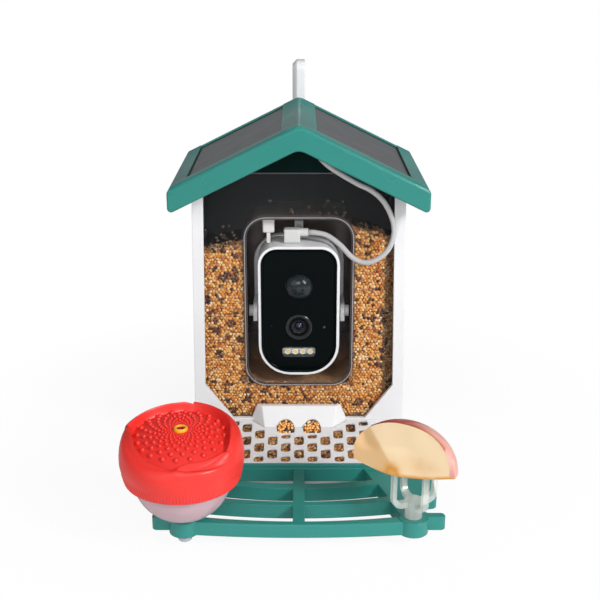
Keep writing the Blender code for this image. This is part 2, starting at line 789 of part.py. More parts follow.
def make_window():
    """The clear pane, with the moulded pocket that the camera stands in."""
    top = EAVE_HEIGHT + WINDOW_TOP_RISE
    foot = WINDOW_FOOT_Z - WALL
    side_foot = side_at(foot) - WALL - GAP
    side_top = BODY_TOP_WIDTH / 2 - WALL - GAP
    shoulder = (roof_under(0.0) - GAP - top) / math.tan(ROOF_PITCH)
    outline = [
        (-side_foot, foot),
        (side_foot, foot),
        (side_top, roof_under(side_top) - GAP),
        (shoulder, top),
        (-shoulder, top),
        (-side_top, roof_under(side_top) - GAP),
    ]
    window = piece("window", prism("Y", outline, WINDOW_FRONT_Y, WINDOW_BACK_Y), CLEAR)
    half = POCKET_WIDTH / 2
    low, high = POCKET_FOOT_Z, POCKET_TOP_Z
    tub = rounded_box(
        half + POCKET_WALL, low - POCKET_WALL, high + POCKET_WALL, POCKET_RADIUS + POCKET_WALL
    )
    join(window, prism("Y", tub, WINDOW_FRONT_Y + WINDOW_THICKNESS / 2, POCKET_BACK_Y), "pocket")
    inside = rounded_box(half, low, high, POCKET_RADIUS)
    cut(
        window,
        prism("Y", inside, WINDOW_FRONT_Y - OVERRUN, POCKET_BACK_Y - POCKET_WALL),
        "pocket_inside",
    )
    mouth = HOOD_TOP_SIDE - HOOD_WALL
    notch = block(
        -mouth, mouth, WINDOW_FRONT_Y - OVERRUN, WINDOW_BACK_Y + OVERRUN,
        foot - OVERRUN, HOOD_TOP_Z - HOOD_WALL,
    )
    cut(window, notch, "seed_notch")
    screw = rod(
        "Y", BRACKET_SCREW_RADIUS + GAP, POCKET_BACK_Y - POCKET_WALL - OVERRUN,
        POCKET_BACK_Y + OVERRUN, 0.0, bracket_screw_z(), 10,
    )
    cut(window, screw, "screw_hole")


def make_gable():
    """The dark panel that closes the gable above the window, with the cable's grommet in it."""
    foot = EAVE_HEIGHT + WINDOW_TOP_RISE + GAP
    side = (roof_under(0.0) - GAP - foot) / math.tan(ROOF_PITCH)
    gable = piece(
        "gable_panel",
        prism("Y", [(-side, foot), (side, foot), (0.0, roof_under(0.0) - GAP)],
              WINDOW_FRONT_Y, WINDOW_BACK_Y),
        DARK_GREEN,
    )
    hole = rod(
        "Y", GROMMET_RADIUS + GAP, WINDOW_FRONT_Y - OVERRUN, WINDOW_BACK_Y + OVERRUN,
        GROMMET_SIDE, GROMMET_Z, 16,
    )
    cut(gable, hole, "grommet_hole")
    grommet = turned_piece(
        "cable_grommet",
        [
            (0.0, 0.0),
            (CABLE_RADIUS * 1.25, 0.0),
            (GROMMET_RADIUS, -GROMMET_NOSE),
            (GROMMET_FLANGE, -GROMMET_NOSE),
            (GROMMET_FLANGE, -GROMMET_NOSE - GROMMET_LIP + GAP),
            (GROMMET_RADIUS, -GROMMET_NOSE - GROMMET_LIP + GAP),
            (GROMMET_RADIUS, -GROMMET_NOSE - GROMMET_LIP - WINDOW_THICKNESS),
            (0.0, -GROMMET_NOSE - GROMMET_LIP - WINDOW_THICKNESS),
        ],
        ((0.03, 0.03, 0.032), 0.6),
        16,
    )
    grommet.matrix_world = Matrix.Translation(
        (GROMMET_SIDE, GROMMET_FACE_Y, GROMMET_Z)
    ) @ Matrix.Rotation(math.pi / 2, 4, "X")


def roof_ring(inset, low):
    """The space inside the roof's rims, up to its underside."""
    side = ROOF_WIDTH / 2 - inset
    return [
        (-side, low),
        (side, low),
        (side, roof_under(side)),
        (0.0, roof_under(0.0)),
        (-side, roof_under(side)),
    ]


def panel_frame(side):
    """Where a solar panel lies: its middle on the slope and its turn, for the right or left side."""
    middle_x = (ROOF_WIDTH / 2 - PANEL_INSET_EAVE + PANEL_INSET_RIDGE) / 2
    middle_y = (ROOF_FRONT_Y + PANEL_INSET_FRONT + ROOF_REAR_Y - PANEL_INSET_REAR) / 2
    place = Matrix.Translation((side * middle_x, middle_y, roof_top(middle_x)))
    return place @ Matrix.Rotation(side * ROOF_PITCH, 4, "Y")


def panel_outline(margin=0.0):
    """The panel's rounded rectangle, lying flat round its middle."""
    run = ROOF_WIDTH / 2 - PANEL_INSET_EAVE - PANEL_INSET_RIDGE
    half_x = run / math.cos(ROOF_PITCH) / 2 - margin
    half_y = (ROOF_DEPTH - PANEL_INSET_FRONT - PANEL_INSET_REAR) / 2 - margin
    return rounded_box(half_x, -half_y, half_y, PANEL_CORNER_RADIUS, 3)


def make_roof():
    """The green gable roof: a skin with a deep band all round, and a shallow recess for each panel."""
    half = ROOF_WIDTH / 2
    outline = rounded(
        [
            (-half, EAVE_HEIGHT - ROOF_BAND, ROOF_CORNER_RADIUS),
            (0.0, roof_top(0.0) - ROOF_BAND, ROOF_CROWN_RADIUS),
            (half, EAVE_HEIGHT - ROOF_BAND, ROOF_CORNER_RADIUS),
            (half, EAVE_HEIGHT, 0.0),
            (0.0, roof_top(0.0), ROOF_CROWN_RADIUS),
            (-half, EAVE_HEIGHT, 0.0),
        ],
        5,
    )
    roof = piece("roof_shell", prism("Y", outline, ROOF_FRONT_Y, ROOF_REAR_Y), GREEN)
    soften(roof, ROOF_EDGE_RADIUS, 2)
    inside = roof_ring(ROOF_RIM, EAVE_HEIGHT - ROOF_BAND - OVERRUN)
    cut(
        roof,
        prism("Y", inside, ROOF_FRONT_Y + ROOF_RIM, ROOF_REAR_Y - ROOF_RIM),
        "inside",
    )
    for side, label in ((1, "right"), (-1, "left")):
        recess = cutter(
            f"panel_recess_{label}", prism("Z", panel_outline(), -PANEL_RECESS, OVERRUN)
        )
        recess.matrix_world = panel_frame(side)
        cut(roof, recess)
        panel = piece(
            f"solar_panel_{label}",
            prism("Z", panel_outline(GAP), -PANEL_RECESS + GAP, -PANEL_RECESS + GAP + PANEL_THICKNESS),
            ((0.035, 0.034, 0.033), 0.45),
        )
        panel.matrix_world = panel_frame(side)
    for station in hinge_stations():
        for hand in (-1, 1):
            near = station + hand * (LUG_LENGTH / 2 + GAP)
            far = near + hand * KNUCKLE_LENGTH
            low, high = min(near, far), max(near, far)
            leg = block(
                HINGE_X - KNUCKLE_RADIUS, HINGE_X + KNUCKLE_RADIUS, low, high,
                HINGE_Z, roof_under(HINGE_X) + ROOF_SKIN / 2,
            )
            join(roof, leg, "knuckle_leg")
            join(roof, rod("Y", KNUCKLE_RADIUS, low, high, HINGE_X, HINGE_Z, 16), "knuckle")
            bore = rod(
                "Y", HINGE_PIN_RADIUS + GAP, low - OVERRUN, high + OVERRUN, HINGE_X, HINGE_Z, 12
            )
            cut(roof, bore, "knuckle_bore")


def make_hinge_pins():
    """Two headed pins through the lugs and knuckles."""
    for station, label in zip(hinge_stations(), ("front", "rear")):
        reach = LUG_LENGTH / 2 + GAP + KNUCKLE_LENGTH + GAP
        pin = piece(
            f"hinge_pin_{label}",
            rod("Y", HINGE_PIN_RADIUS, station - reach, station + reach + GAP, HINGE_X, HINGE_Z, 12),
            STEEL,
        )
        head = rod(
            "Y", HINGE_HEAD_RADIUS, station + reach, station + reach + HINGE_HEAD_LENGTH,
            HINGE_X, HINGE_Z, 12,
        )
        join(pin, head, "head")


def base_profile():
    """Side view of the base: a flat foot, the recessed pan front, and a top that follows the deck."""
    under_deck = DECK_THICKNESS / math.cos(DECK_SLOPE) + GAP
    return [
        (REAR_Y, 0.0),
        (REAR_Y, BASE_HEIGHT),
        (FRONT_Y, BASE_HEIGHT),
        (FRONT_Y, deck_z(FRONT_Y) - under_deck),
        (PAN_FRONT_Y, deck_z(PAN_FRONT_Y) - under_deck),
        (PAN_FRONT_Y, 0.0),
    ]


def tray_outline(front_y, side, radius, rear_y):
    """The tray's plan: straight sides and two rounded front corners."""
    return rounded(
        [(-side, rear_y, 0.0), (-side, front_y, radius), (side, front_y, radius), (side, rear_y, 0.0)],
        6,
    )


def make_base():
    """The white base: the pan under the deck in front, and the foot under the housing behind."""
    top = DECK_HEIGHT + OVERRUN
    base = piece("base_pan", prism("X", base_profile(), -BASE_SIDE, BASE_SIDE), WHITE)
    plan = tray_outline(PAN_FRONT_Y, BASE_SIDE, TRAY_CORNER_RADIUS, REAR_Y)
    keep = cutter("base_plan", prism("Z", plan, -OVERRUN, top))
    combine(base, keep, "INTERSECT")
    inner = BASE_SIDE - WALL
    pan = tray_outline(
        PAN_FRONT_Y + PAN_WALL, inner, TRAY_CORNER_RADIUS - WALL, FRAME_BACK_Y
    )
    cut(base, prism("Z", pan, FLOOR, top), "pan")
    cut(
        base,
        block(-inner, inner, FRAME_BACK_Y + WALL, REAR_Y - WALL, FLOOR, top),
        "under_hopper",
    )
    for x in perch_screw_places():
        hole = rod(
            "Y", PERCH_SCREW_RADIUS + GAP, PAN_FRONT_Y - OVERRUN, PAN_FRONT_Y + PAN_WALL + OVERRUN,
            x, perch_screw_z(), 10,
        )
        cut(base, hole, "perch_screw_hole")


def slot_rows(column):
    """Middles of one column's slots, as distances in front of the body along the deck."""
    first = SLOT_FIRST_REACH if column % 2 == 0 else SLOT_FIRST_REACH - SLOT_PITCH_Y / 2
    last = TRAY_REACH / math.cos(DECK_SLOPE) - SLOT_FRONT_MARGIN
    rows = []
    reach = first
    while reach - SLOT_LENGTH / 4 < last:
        low = max(reach - SLOT_LENGTH / 2, SLOT_MARGIN)
        high = min(reach + SLOT_LENGTH / 2, last)
        if high - low > SLOT_LENGTH / 3:
            rows.append((low, high))
        reach += SLOT_PITCH_Y
    return rows


def clear_of_hood(side, low):
    """Whether a slot stands clear of the hood's foot."""
    edge = HOOD_FOOT_SIDE - (HOOD_FOOT_SIDE - HOOD_FRONT_SIDE) * low / HOOD_REACH
    return low > HOOD_REACH + SLOT_MARGIN or abs(side) - SLOT_WIDTH / 2 > edge + SLOT_MARGIN


def before_outlet(side, low):
    """Where a slot in front of an outlet starts, so that it stands clear of the arch's flat end."""
    if abs(side) < OUTLET_SPACING / 2 + OUTLET_WIDTH / 2 + SLOT_WIDTH / 2 - SLOT_MARGIN:
        return max(low, OUTLET_FRONT_REACH + SLOT_MARGIN)
    return low


def make_deck():
    """The slotted deck: a thin sloping plate over the pan, with its slots in a brick pattern."""
    reach = TRAY_REACH / math.cos(DECK_SLOPE)
    plan = tray_outline(-reach, BASE_SIDE, TRAY_CORNER_RADIUS, -GAP)
    deck = piece("tray_deck", prism("Z", plan, -DECK_THICKNESS, 0.0), WHITE)
    place = Matrix.Translation((0.0, FRONT_Y, DECK_HEIGHT)) @ Matrix.Rotation(DECK_SLOPE, 4, "X")
    deck.matrix_world = place
    bm = bmesh.new()
    columns = int((BASE_SIDE - SLOT_MARGIN) / SLOT_PITCH_X)
    for column in range(-columns, columns + 1):
        side = column * SLOT_PITCH_X
        if abs(side) + SLOT_WIDTH / 2 + WALL + SLOT_MARGIN > BASE_SIDE:
            continue
        for low, high in slot_rows(column):
            low = before_outlet(side, low)
            if high - low < SLOT_LENGTH / 3:
                continue
            corner = abs(side) > BASE_SIDE - TRAY_CORNER_RADIUS and high > reach - TRAY_CORNER_RADIUS
            if corner or not clear_of_hood(side, low):
                continue
            radius = min(SLOT_RADIUS, (high - low) / 3)
            outline = rounded_box(SLOT_WIDTH / 2, -high, -low, radius, 2)
            face = bm.faces.new(
                [bm.verts.new((side + u, v, -DECK_THICKNESS - OVERRUN)) for u, v in outline]
            )
            moved = bmesh.ops.extrude_face_region(bm, geom=[face])
            tops = [item for item in moved["geom"] if isinstance(item, bmesh.types.BMVert)]
            bmesh.ops.translate(
                bm, verts=tops, vec=(0.0, 0.0, DECK_THICKNESS + 2 * OVERRUN)
            )
    slots = cutter("deck_slots", mesh_of(bm, "deck_slots"))
    slots.matrix_world = place
    cut(deck, slots)
    foot = HOOD_FOOT_SIDE + GAP
    front = HOOD_FRONT_SIDE + GAP
    reach_hood = HOOD_REACH + GAP
    hood_plan = [
        (-foot, FRONT_Y + OVERRUN),
        (-foot, FRONT_Y - GAP),
        (-front, FRONT_Y - reach_hood),
        (front, FRONT_Y - reach_hood),
        (foot, FRONT_Y - GAP),
        (foot, FRONT_Y + OVERRUN),
    ]
    cut(deck, prism("Z", hood_plan, BASE_HEIGHT - OVERRUN, DECK_HEIGHT + OVERRUN), "hood_hole")
    for index, side in enumerate((-OUTLET_SPACING / 2, OUTLET_SPACING / 2)):
        cut(deck, outlet_cutter(f"deck_outlet_cut_{index}", side))


def make_seed():
    """The seed as three closed bodies' worth of fill: the hopper's heap and the bed under the deck."""
    front = WINDOW_BACK_Y + GAP
    rear = REAR_Y - WALL - GAP
    low = HOPPER_FLOOR_FRONT
    heap_line = [
        (-BODY_FOOT_WIDTH / 2, low),
        (BODY_FOOT_WIDTH / 2, low),
        (BODY_FOOT_WIDTH / 2, EAVE_HEIGHT - SEED_DROP_RIGHT),
        (SEED_MIDDLE_SIDE, EAVE_HEIGHT - SEED_DROP_MIDDLE),
        (-SEED_MIDDLE_SIDE, EAVE_HEIGHT - SEED_DROP_MIDDLE),
        (-BODY_FOOT_WIDTH / 2, EAVE_HEIGHT - SEED_DROP_LEFT),
    ]
    heap = piece("hopper_seed", prism("Y", heap_line, front, rear), SEED)
    walls = [
        (-side_at(low) + WALL + GAP, low - OVERRUN),
        (side_at(low) - WALL - GAP, low - OVERRUN),
        (BODY_TOP_WIDTH / 2 - WALL - GAP, EAVE_HEIGHT),
        (-BODY_TOP_WIDTH / 2 + WALL + GAP, EAVE_HEIGHT),
    ]
    combine(heap, cutter("seed_walls", prism("Y", walls, front - OVERRUN, rear + OVERRUN)), "INTERSECT")
    wedge = [
        (front - OVERRUN, low - 2 * OVERRUN),
        (rear + OVERRUN, low - 2 * OVERRUN),
        (rear + OVERRUN, hopper_floor_z(rear + OVERRUN) + GAP),
        (front - OVERRUN, hopper_floor_z(front - OVERRUN) + GAP),
    ]
    cut(heap, prism("X", wedge, -BODY_FOOT_WIDTH, BODY_FOOT_WIDTH), "ramp")
    half = POCKET_WIDTH / 2 + POCKET_WALL + GAP
    pocket = rounded_box(
        half, POCKET_FOOT_Z - POCKET_WALL - GAP, POCKET_TOP_Z + POCKET_WALL + GAP,
        POCKET_RADIUS + POCKET_WALL + GAP,
    )
    cut(heap, prism("Y", pocket, front - OVERRUN, POCKET_BACK_Y + GAP), "pocket")
    screw_end = POCKET_BACK_Y - POCKET_WALL - BRACKET_BACK_CLEARANCE - BRACKET_BAR_DEPTH
    screw_end += BRACKET_SCREW_LENGTH + GAP + OVERRUN / 2
    cut(
        heap,
        rod("Y", BRACKET_SCREW_RADIUS + GAP, POCKET_BACK_Y - OVERRUN, screw_end,
            0.0, bracket_screw_z(), 10),
        "screw_hole",
    )
    under = DECK_THICKNESS / math.cos(DECK_SLOPE) + SEED_BED_DROP
    bed_top = BASE_HEIGHT - GAP
    bed_bend = FRONT_Y - (DECK_HEIGHT - under - bed_top) / math.tan(DECK_SLOPE)
    bed_rear = FRAME_BACK_Y - GAP
    bed_front = PAN_FRONT_Y + PAN_WALL + GAP
    bed = piece(
        "tray_seed",
        prism(
            "X",
            [
                (bed_rear, FLOOR + GAP),
                (bed_rear, bed_top),
                (bed_bend, bed_top),
                (bed_front, deck_z(bed_front) - under),
                (bed_front, FLOOR + GAP),
            ],
            -BASE_SIDE + WALL + GAP,
            BASE_SIDE - WALL - GAP,
        ),
        SEED,
    )
    plan = tray_outline(
        bed_front, BASE_SIDE - WALL - GAP, TRAY_CORNER_RADIUS - WALL, bed_rear
    )
    combine(bed, cutter("bed_plan", prism("Z", plan, 0.0, DECK_HEIGHT)), "INTERSECT")
    for x in perch_screw_places():
        room = rod(
            "Y", PERCH_SCREW_HEAD + GAP, bed_front - OVERRUN,
            bed_front + PERCH_SCREW_HEAD_LENGTH + 2 * GAP, x, perch_screw_z(), 12,
        )
        cut(bed, room, "screw_room")


def hopper_floor_z(y):
    """Height of the hopper floor's upper face."""
    return HOPPER_FLOOR_FRONT + math.tan(HOPPER_FLOOR_SLOPE) * (y - WINDOW_BACK_Y)


def make_hopper_floor():
    """The sloping floor that sends the seed to the outlets."""
    front = WINDOW_BACK_Y + GAP
    rear = REAR_Y - WALL - GAP
    drop = HOPPER_FLOOR_THICKNESS / math.cos(HOPPER_FLOOR_SLOPE)
    floor = piece(
        "hopper_floor",
        prism(
            "X",
            [
                (front, hopper_floor_z(front) - drop),
                (rear, hopper_floor_z(rear) - drop),
                (rear, hopper_floor_z(rear)),
                (front, hopper_floor_z(front)),
            ],
            -BODY_FOOT_WIDTH,
            BODY_FOOT_WIDTH,
        ),
        WHITE,
    )
    foot = HOPPER_FLOOR_FRONT - OVERRUN
    walls = [
        (-side_at(HOUSING_FOOT) + WALL + GAP, foot),
        (side_at(HOUSING_FOOT) - WALL - GAP, foot),
        (BODY_TOP_WIDTH / 2 - WALL - GAP, EAVE_HEIGHT),
        (-BODY_TOP_WIDTH / 2 + WALL + GAP, EAVE_HEIGHT),
    ]
    combine(
        floor, cutter("floor_walls", prism("Y", walls, front - OVERRUN, rear + OVERRUN)), "INTERSECT"
    )


def camera_outline(inset=0.0):
    """The camera's front view: a tall rounded rectangle, rounder at its foot."""
    half = CAMERA_WIDTH / 2 - inset
    foot = CAMERA_TOP - CAMERA_HEIGHT + inset
    top = CAMERA_TOP - inset
    return rounded(
        [
            (-half, foot, CAMERA_FOOT_RADIUS - inset),
            (half, foot, CAMERA_FOOT_RADIUS - inset),
            (half, top, CAMERA_TOP_RADIUS - inset),
            (-half, top, CAMERA_TOP_RADIUS - inset),
        ],
        7,
    )


def make_camera():
    """The camera's shell with its white ring, the black face and what looks out of it."""
    back = FRONT_Y + CAMERA_DEPTH
    shell = piece("camera_shell", prism("Y", camera_outline(), FRONT_Y, back), WHITE)
    edge_weights(shell, back)
    cut(
        shell,
        prism("Y", camera_outline(CAMERA_RING), FRONT_Y - OVERRUN, FRONT_Y + CAMERA_BACK_RADIUS),
        "face_seat",
    )
    cut(
        shell,
        prism(
            "Y", camera_outline(CAMERA_RING + CAMERA_WALL), FRONT_Y, back - CAMERA_BACK_RADIUS / 2
        ),
        "inside",
    )
    for hand in (-1, 1):
        tip = hand * (CAMERA_WIDTH / 2 - PIVOT_SHANK_INSERT - GAP)
        end = hand * (CAMERA_WIDTH / 2 + OVERRUN)
        hole = rod(
            "X", PIVOT_SCREW_RADIUS + GAP, min(tip, end), max(tip, end), PIVOT_Y, PIVOT_Z, 12
        )
        cut(shell, hole, "pivot_hole")
    face_front = FRONT_Y + FACE_SINK
    face_back = face_front + FACE_THICKNESS
    face = piece(
        "camera_face", prism("Y", camera_outline(CAMERA_RING + GAP), face_front, face_back), BLACK
    )
    pir_z = EAVE_HEIGHT - PIR_SHARE * FACE_HEIGHT
    lens_z = EAVE_HEIGHT - LENS_SHARE * FACE_HEIGHT
    led_z = EAVE_HEIGHT - LED_SHARE * FACE_HEIGHT
    cut(face, rod("Y", PIR_RADIUS + GAP, face_front - OVERRUN, face_back + OVERRUN, 0.0, pir_z, 28), "pir")
    cut(face, rod("Y", LENS_RADIUS + GAP, face_front - OVERRUN, face_back + OVERRUN, 0.0, lens_z, 24), "lens")
    strip = rounded_box(
        LED_STRIP_WIDTH / 2 + GAP, led_z - LED_STRIP_HEIGHT / 2 - GAP,
        led_z + LED_STRIP_HEIGHT / 2 + GAP, LED_STRIP_HEIGHT / 3, 3,
    )
    cut(face, prism("Y", strip, face_front - OVERRUN, face_back + OVERRUN), "led_slot")
    dome_radius = (PIR_RADIUS ** 2 + PIR_DOME ** 2) / (2 * PIR_DOME)
    sweep = math.asin(PIR_RADIUS / dome_radius)
    dome = [
        (dome_radius * math.sin(sweep * step / 6),
         PIR_DOME - dome_radius * (1 - math.cos(sweep * step / 6)))
        for step in range(7)
    ]
    dome += [
        (PIR_RADIUS, -FACE_THICKNESS - GAP),
        (PIR_RADIUS + PIR_FLANGE, -FACE_THICKNESS - GAP),
        (PIR_RADIUS + PIR_FLANGE, -FACE_THICKNESS - GAP - PIR_FLANGE),
        (0.0, -FACE_THICKNESS - GAP - PIR_FLANGE),
    ]
    facing(turned_piece("pir_dome", dome, ((0.03, 0.035, 0.037), 0.3), 28), face_front, pir_z)
    ring_in = LENS_RADIUS * LENS_RING_WIDTH_SHARE
    barrel = [
        (LENS_RADIUS, GAP),
        (LENS_RADIUS, -LENS_BARREL_LENGTH),
        (ring_in, -LENS_BARREL_LENGTH),
        (ring_in, GAP),
    ]
    facing(turned_piece("lens_barrel", barrel, ((0.012, 0.012, 0.013), 0.35), 24), face_front, lens_z)
    ring = [
        (LENS_RING_RADIUS, LENS_RING_THICKNESS + GAP),
        (LENS_RING_RADIUS, GAP),
        (LENS_RADIUS + 2 * GAP, GAP),
        (LENS_RADIUS + 2 * GAP, LENS_RING_THICKNESS + GAP),
    ]
    facing(turned_piece("lens_ring", ring, ((0.015, 0.018, 0.019), 0.2), 32), face_front, lens_z)
    glass_radius = ring_in - GAP
    glass = [
        (0.0, 0.0),
        (glass_radius / 2, -LENS_GLASS_DOME / 4),
        (glass_radius, -LENS_GLASS_DOME),
        (glass_radius, -LENS_GLASS_DOME - LENS_GLASS_THICKNESS),
        (0.0, -LENS_GLASS_DOME - LENS_GLASS_THICKNESS),
    ]
    facing(
        turned_piece("lens_glass", glass, ((0.02, 0.03, 0.05), 0.03, 0.0, 0.5), 24),
        face_front, lens_z,
    )
    window_outline = rounded_box(
        LED_STRIP_WIDTH / 2, led_z - LED_STRIP_HEIGHT / 2, led_z + LED_STRIP_HEIGHT / 2,
        LED_STRIP_HEIGHT / 3, 3,
    )
    piece(
        "led_window",
        prism("Y", window_outline, face_front, face_front + LED_STRIP_THICKNESS),
        ((0.75, 0.76, 0.74), 0.1, 0.0, 0.5),
    )
    led_front = face_front + LED_STRIP_THICKNESS + GAP
    led_back = led_front + LED_LENGTH
    leds = piece(
        "floodlight_leds",
        block(-LED_STRIP_WIDTH / 2, LED_STRIP_WIDTH / 2, led_back, led_back + LED_STRIP_THICKNESS,
              led_z - LED_RADIUS, led_z + LED_RADIUS),
        ((0.9, 0.86, 0.62), 0.3),
    )
    for index in range(LED_COUNT):
        join(leds, rod("Y", LED_RADIUS, led_front, led_back + GAP, led_x(index), led_z, 12), "led")
    board_front = FRONT_Y + BOARD_SETBACK
    board_back = board_front + BOARD_THICKNESS
    middle = CAMERA_TOP - CAMERA_HEIGHT / 2
    piece(
        "camera_board",
        prism(
            "Y",
            rounded_box(BOARD_WIDTH / 2, middle - BOARD_HEIGHT / 2, middle + BOARD_HEIGHT / 2,
                        BOARD_WIDTH / 3, 4),
            board_front, board_back,
        ),
        ((0.02, 0.16, 0.08), 0.5),
    )
    piece(
        "image_sensor",
        block(-SENSOR_SIZE / 2, SENSOR_SIZE / 2,
              face_front + LENS_BARREL_LENGTH + GAP, board_front - GAP,
              lens_z - SENSOR_SIZE / 2, lens_z + SENSOR_SIZE / 2),
        ((0.02, 0.02, 0.02), 0.4),
        smooth=False,
    )
    cell_y = board_back + GAP + CELL_RADIUS
    for hand, label in ((-1, "left"), (1, "right")):
        piece(
            f"battery_cell_{label}",
            rod("Z", CELL_RADIUS, middle - CELL_LENGTH / 2, middle + CELL_LENGTH / 2,
                hand * CELL_SPACING / 2, cell_y, 20),
            ((0.10, 0.16, 0.40), 0.4),
        )


def led_x(index):
    """Sideways place of one of the white lights."""
    return (index - (LED_COUNT - 1) / 2) * LED_PITCH


def edge_weights(shell, back):
    """Round only the camera's back edge."""
    weights = shell.data.attributes.new("bevel_weight_edge", "FLOAT", "EDGE")
    for edge in shell.data.edges:
        ends = [shell.data.vertices[index].co.y for index in edge.vertices]
        if min(ends) > back - MERGE:
            weights.data[edge.index].value = 1.0
    bevel = shell.modifiers.new("back_edge", "BEVEL")
    bevel.limit_method = "WEIGHT"
    bevel.width = CAMERA_BACK_RADIUS
    bevel.segments = 4
    bevel.use_clamp_overlap = True


def facing(thing, y, z, x=0.0):
    """Turn a turned piece so that its top looks to the front, at a place on the camera's face."""
    thing.matrix_world = Matrix.Translation((x, y, z)) @ Matrix.Rotation(math.pi / 2, 4, "X")
    return thing


def bracket_screw_z():
    """Height of the screw that holds the bracket to the pocket's back."""
    return BRACKET_TOP_Z + BRACKET_TAB_RISE / 2


def make_bracket():
    """The bracket behind the camera: an arch, two side arms that reach forward, and its screws."""
    back = POCKET_BACK_Y - POCKET_WALL - BRACKET_BACK_CLEARANCE
    front = back - BRACKET_BAR_DEPTH
    top = BRACKET_TOP_Z
    low = PIVOT_Z - BRACKET_ARM_HEIGHT / 2
    inner = BRACKET_SIDE - BRACKET_THICKNESS
    outer_radius = BRACKET_CORNER_RADIUS
    inner_radius = BRACKET_CORNER_RADIUS - BRACKET_THICKNESS
    arch = rounded(
        [
            (-BRACKET_SIDE, low, 0.0),
            (-inner, low, 0.0),
            (-inner, top - BRACKET_THICKNESS, inner_radius),
            (inner, top - BRACKET_THICKNESS, inner_radius),
            (inner, low, 0.0),
            (BRACKET_SIDE, low, 0.0),
            (BRACKET_SIDE, top, outer_radius),
            (-BRACKET_SIDE, top, outer_radius),
        ],
        6,
    )
    arm_front = PIVOT_Y - BRACKET_FOOT_RADIUS
    bracket = piece(
        "camera_bracket", prism("Y", arch, arm_front - OVERRUN, back + OVERRUN), WHITE
    )
    side_view = rounded(
        [
            (arm_front, low - OVERRUN, 0.0),
            (back, low - OVERRUN, 0.0),
            (back, top + OVERRUN, 0.0),
            (front, top + OVERRUN, 0.0),
            (front, low + BRACKET_ARM_HEIGHT, WALL),
            (arm_front, low + BRACKET_ARM_HEIGHT, BRACKET_FOOT_RADIUS),
        ],
        5,
    )
    keep = cutter("bracket_side_view", prism("X", side_view, -BASE_SIDE, BASE_SIDE))
    combine(bracket, keep, "INTERSECT")
    for hand in (-1, 1):
        sides = sorted((hand * inner, hand * BRACKET_SIDE))
        hole = rod(
            "X", PIVOT_SCREW_RADIUS + GAP, sides[0] - OVERRUN, sides[1] + OVERRUN, PIVOT_Y, PIVOT_Z, 12
        )
        cut(bracket, hole, "pivot_hole")
    tab = block(
        -BRACKET_TAB_SIDE, BRACKET_TAB_SIDE, back - BRACKET_THICKNESS, back - GAP,
        top - BRACKET_THICKNESS / 2, top + BRACKET_TAB_RISE,
    )
    join(bracket, tab, "tab")
    hole = rod(
        "Y", BRACKET_SCREW_RADIUS + GAP, front - OVERRUN, back + OVERRUN, 0.0, bracket_screw_z(), 10
    )
    cut(bracket, hole, "screw_hole")
    for hand, label in ((-1, "left"), (1, "right")):
        near = hand * (BRACKET_SIDE + GAP)
        far = near + hand * PIVOT_HEAD_LENGTH
        tip = hand * (CAMERA_WIDTH / 2 - PIVOT_SHANK_INSERT)
        head = rod("X", PIVOT_HEAD_RADIUS, min(near, far), max(near, far), PIVOT_Y, PIVOT_Z, 20)
        screw = piece(f"pivot_screw_{label}", head, WHITE)
        join(
            screw,
            rod("X", PIVOT_SCREW_RADIUS, min(tip, near + hand * GAP), max(tip, near + hand * GAP),
                PIVOT_Y, PIVOT_Z, 12),
            "shank",
        )
    seat = back - BRACKET_THICKNESS - GAP
    screw = piece(
        "bracket_screw",
        rod("Y", BRACKET_SCREW_HEAD, seat - BRACKET_SCREW_HEAD_LENGTH, seat,
            0.0, bracket_screw_z(), 18),
        STEEL,
    )
    join(
        screw,
        rod("Y", BRACKET_SCREW_RADIUS, seat - GAP, seat + BRACKET_SCREW_LENGTH - BRACKET_BAR_DEPTH / 4,
            0.0, bracket_screw_z(), 10),
        "shank",
    )


def make_plug_and_cap():
    """The right-angled plug in the camera's top, and the rubber cap that hangs beside it."""
    low = CAMERA_TOP + GAP
    plug = piece(
        "usb_plug",
        block(PLUG_X - PLUG_WIDTH / 2, PLUG_X + PLUG_WIDTH / 2,
              PLUG_Y - PLUG_DEPTH / 2, PLUG_Y + PLUG_DEPTH / 2, low, low + PLUG_HEIGHT),
        WHITE,
    )
    soften(plug, PLUG_EDGE, 2)
    join(
        plug,
        rod("X", PLUG_NECK_RADIUS, PLUG_X, NECK_END_X, PLUG_Y, NECK_Z, 16),
        "neck",
    )
    cap_y = FRONT_Y + CAP_SETBACK
    lean = CAMERA_TOP - camera_shoulder_drop(CAP_SIDE)
    strap = piece(
        "port_cap",
        block(CAP_SIDE - CAP_WIDTH / 2, CAP_SIDE + CAP_WIDTH / 2,
              cap_y, cap_y + CAP_THICKNESS,
              lean + CAP_STRAP_LENGTH, lean + CAP_STRAP_LENGTH + CAP_HEIGHT),
        ((0.42, 0.41, 0.40), 0.7),
    )
    soften(strap, CAP_EDGE, 1)
    join(
        strap,
        block(CAP_SIDE - CAP_STRAP_WIDTH / 2, CAP_SIDE + CAP_STRAP_WIDTH / 2,
              cap_y + (CAP_THICKNESS - CAP_STRAP_THICKNESS) / 2,
              cap_y + (CAP_THICKNESS + CAP_STRAP_THICKNESS) / 2,
              lean + GAP, lean + CAP_STRAP_LENGTH + OVERRUN),
        "strap",
    )


def camera_shoulder_drop(x):
    """How far the camera's rounded shoulder lies below its top at a distance from the middle."""
    past = abs(x) + CAP_STRAP_WIDTH / 2 - (CAMERA_WIDTH / 2 - CAMERA_TOP_RADIUS)
    if past <= 0.0:
        return 0.0
    past = min(past, CAMERA_TOP_RADIUS)
    inner = abs(x) - CAP_STRAP_WIDTH / 2 - (CAMERA_WIDTH / 2 - CAMERA_TOP_RADIUS)
    inner = max(inner, 0.0)
    return CAMERA_TOP_RADIUS - math.sqrt(CAMERA_TOP_RADIUS ** 2 - inner * inner)


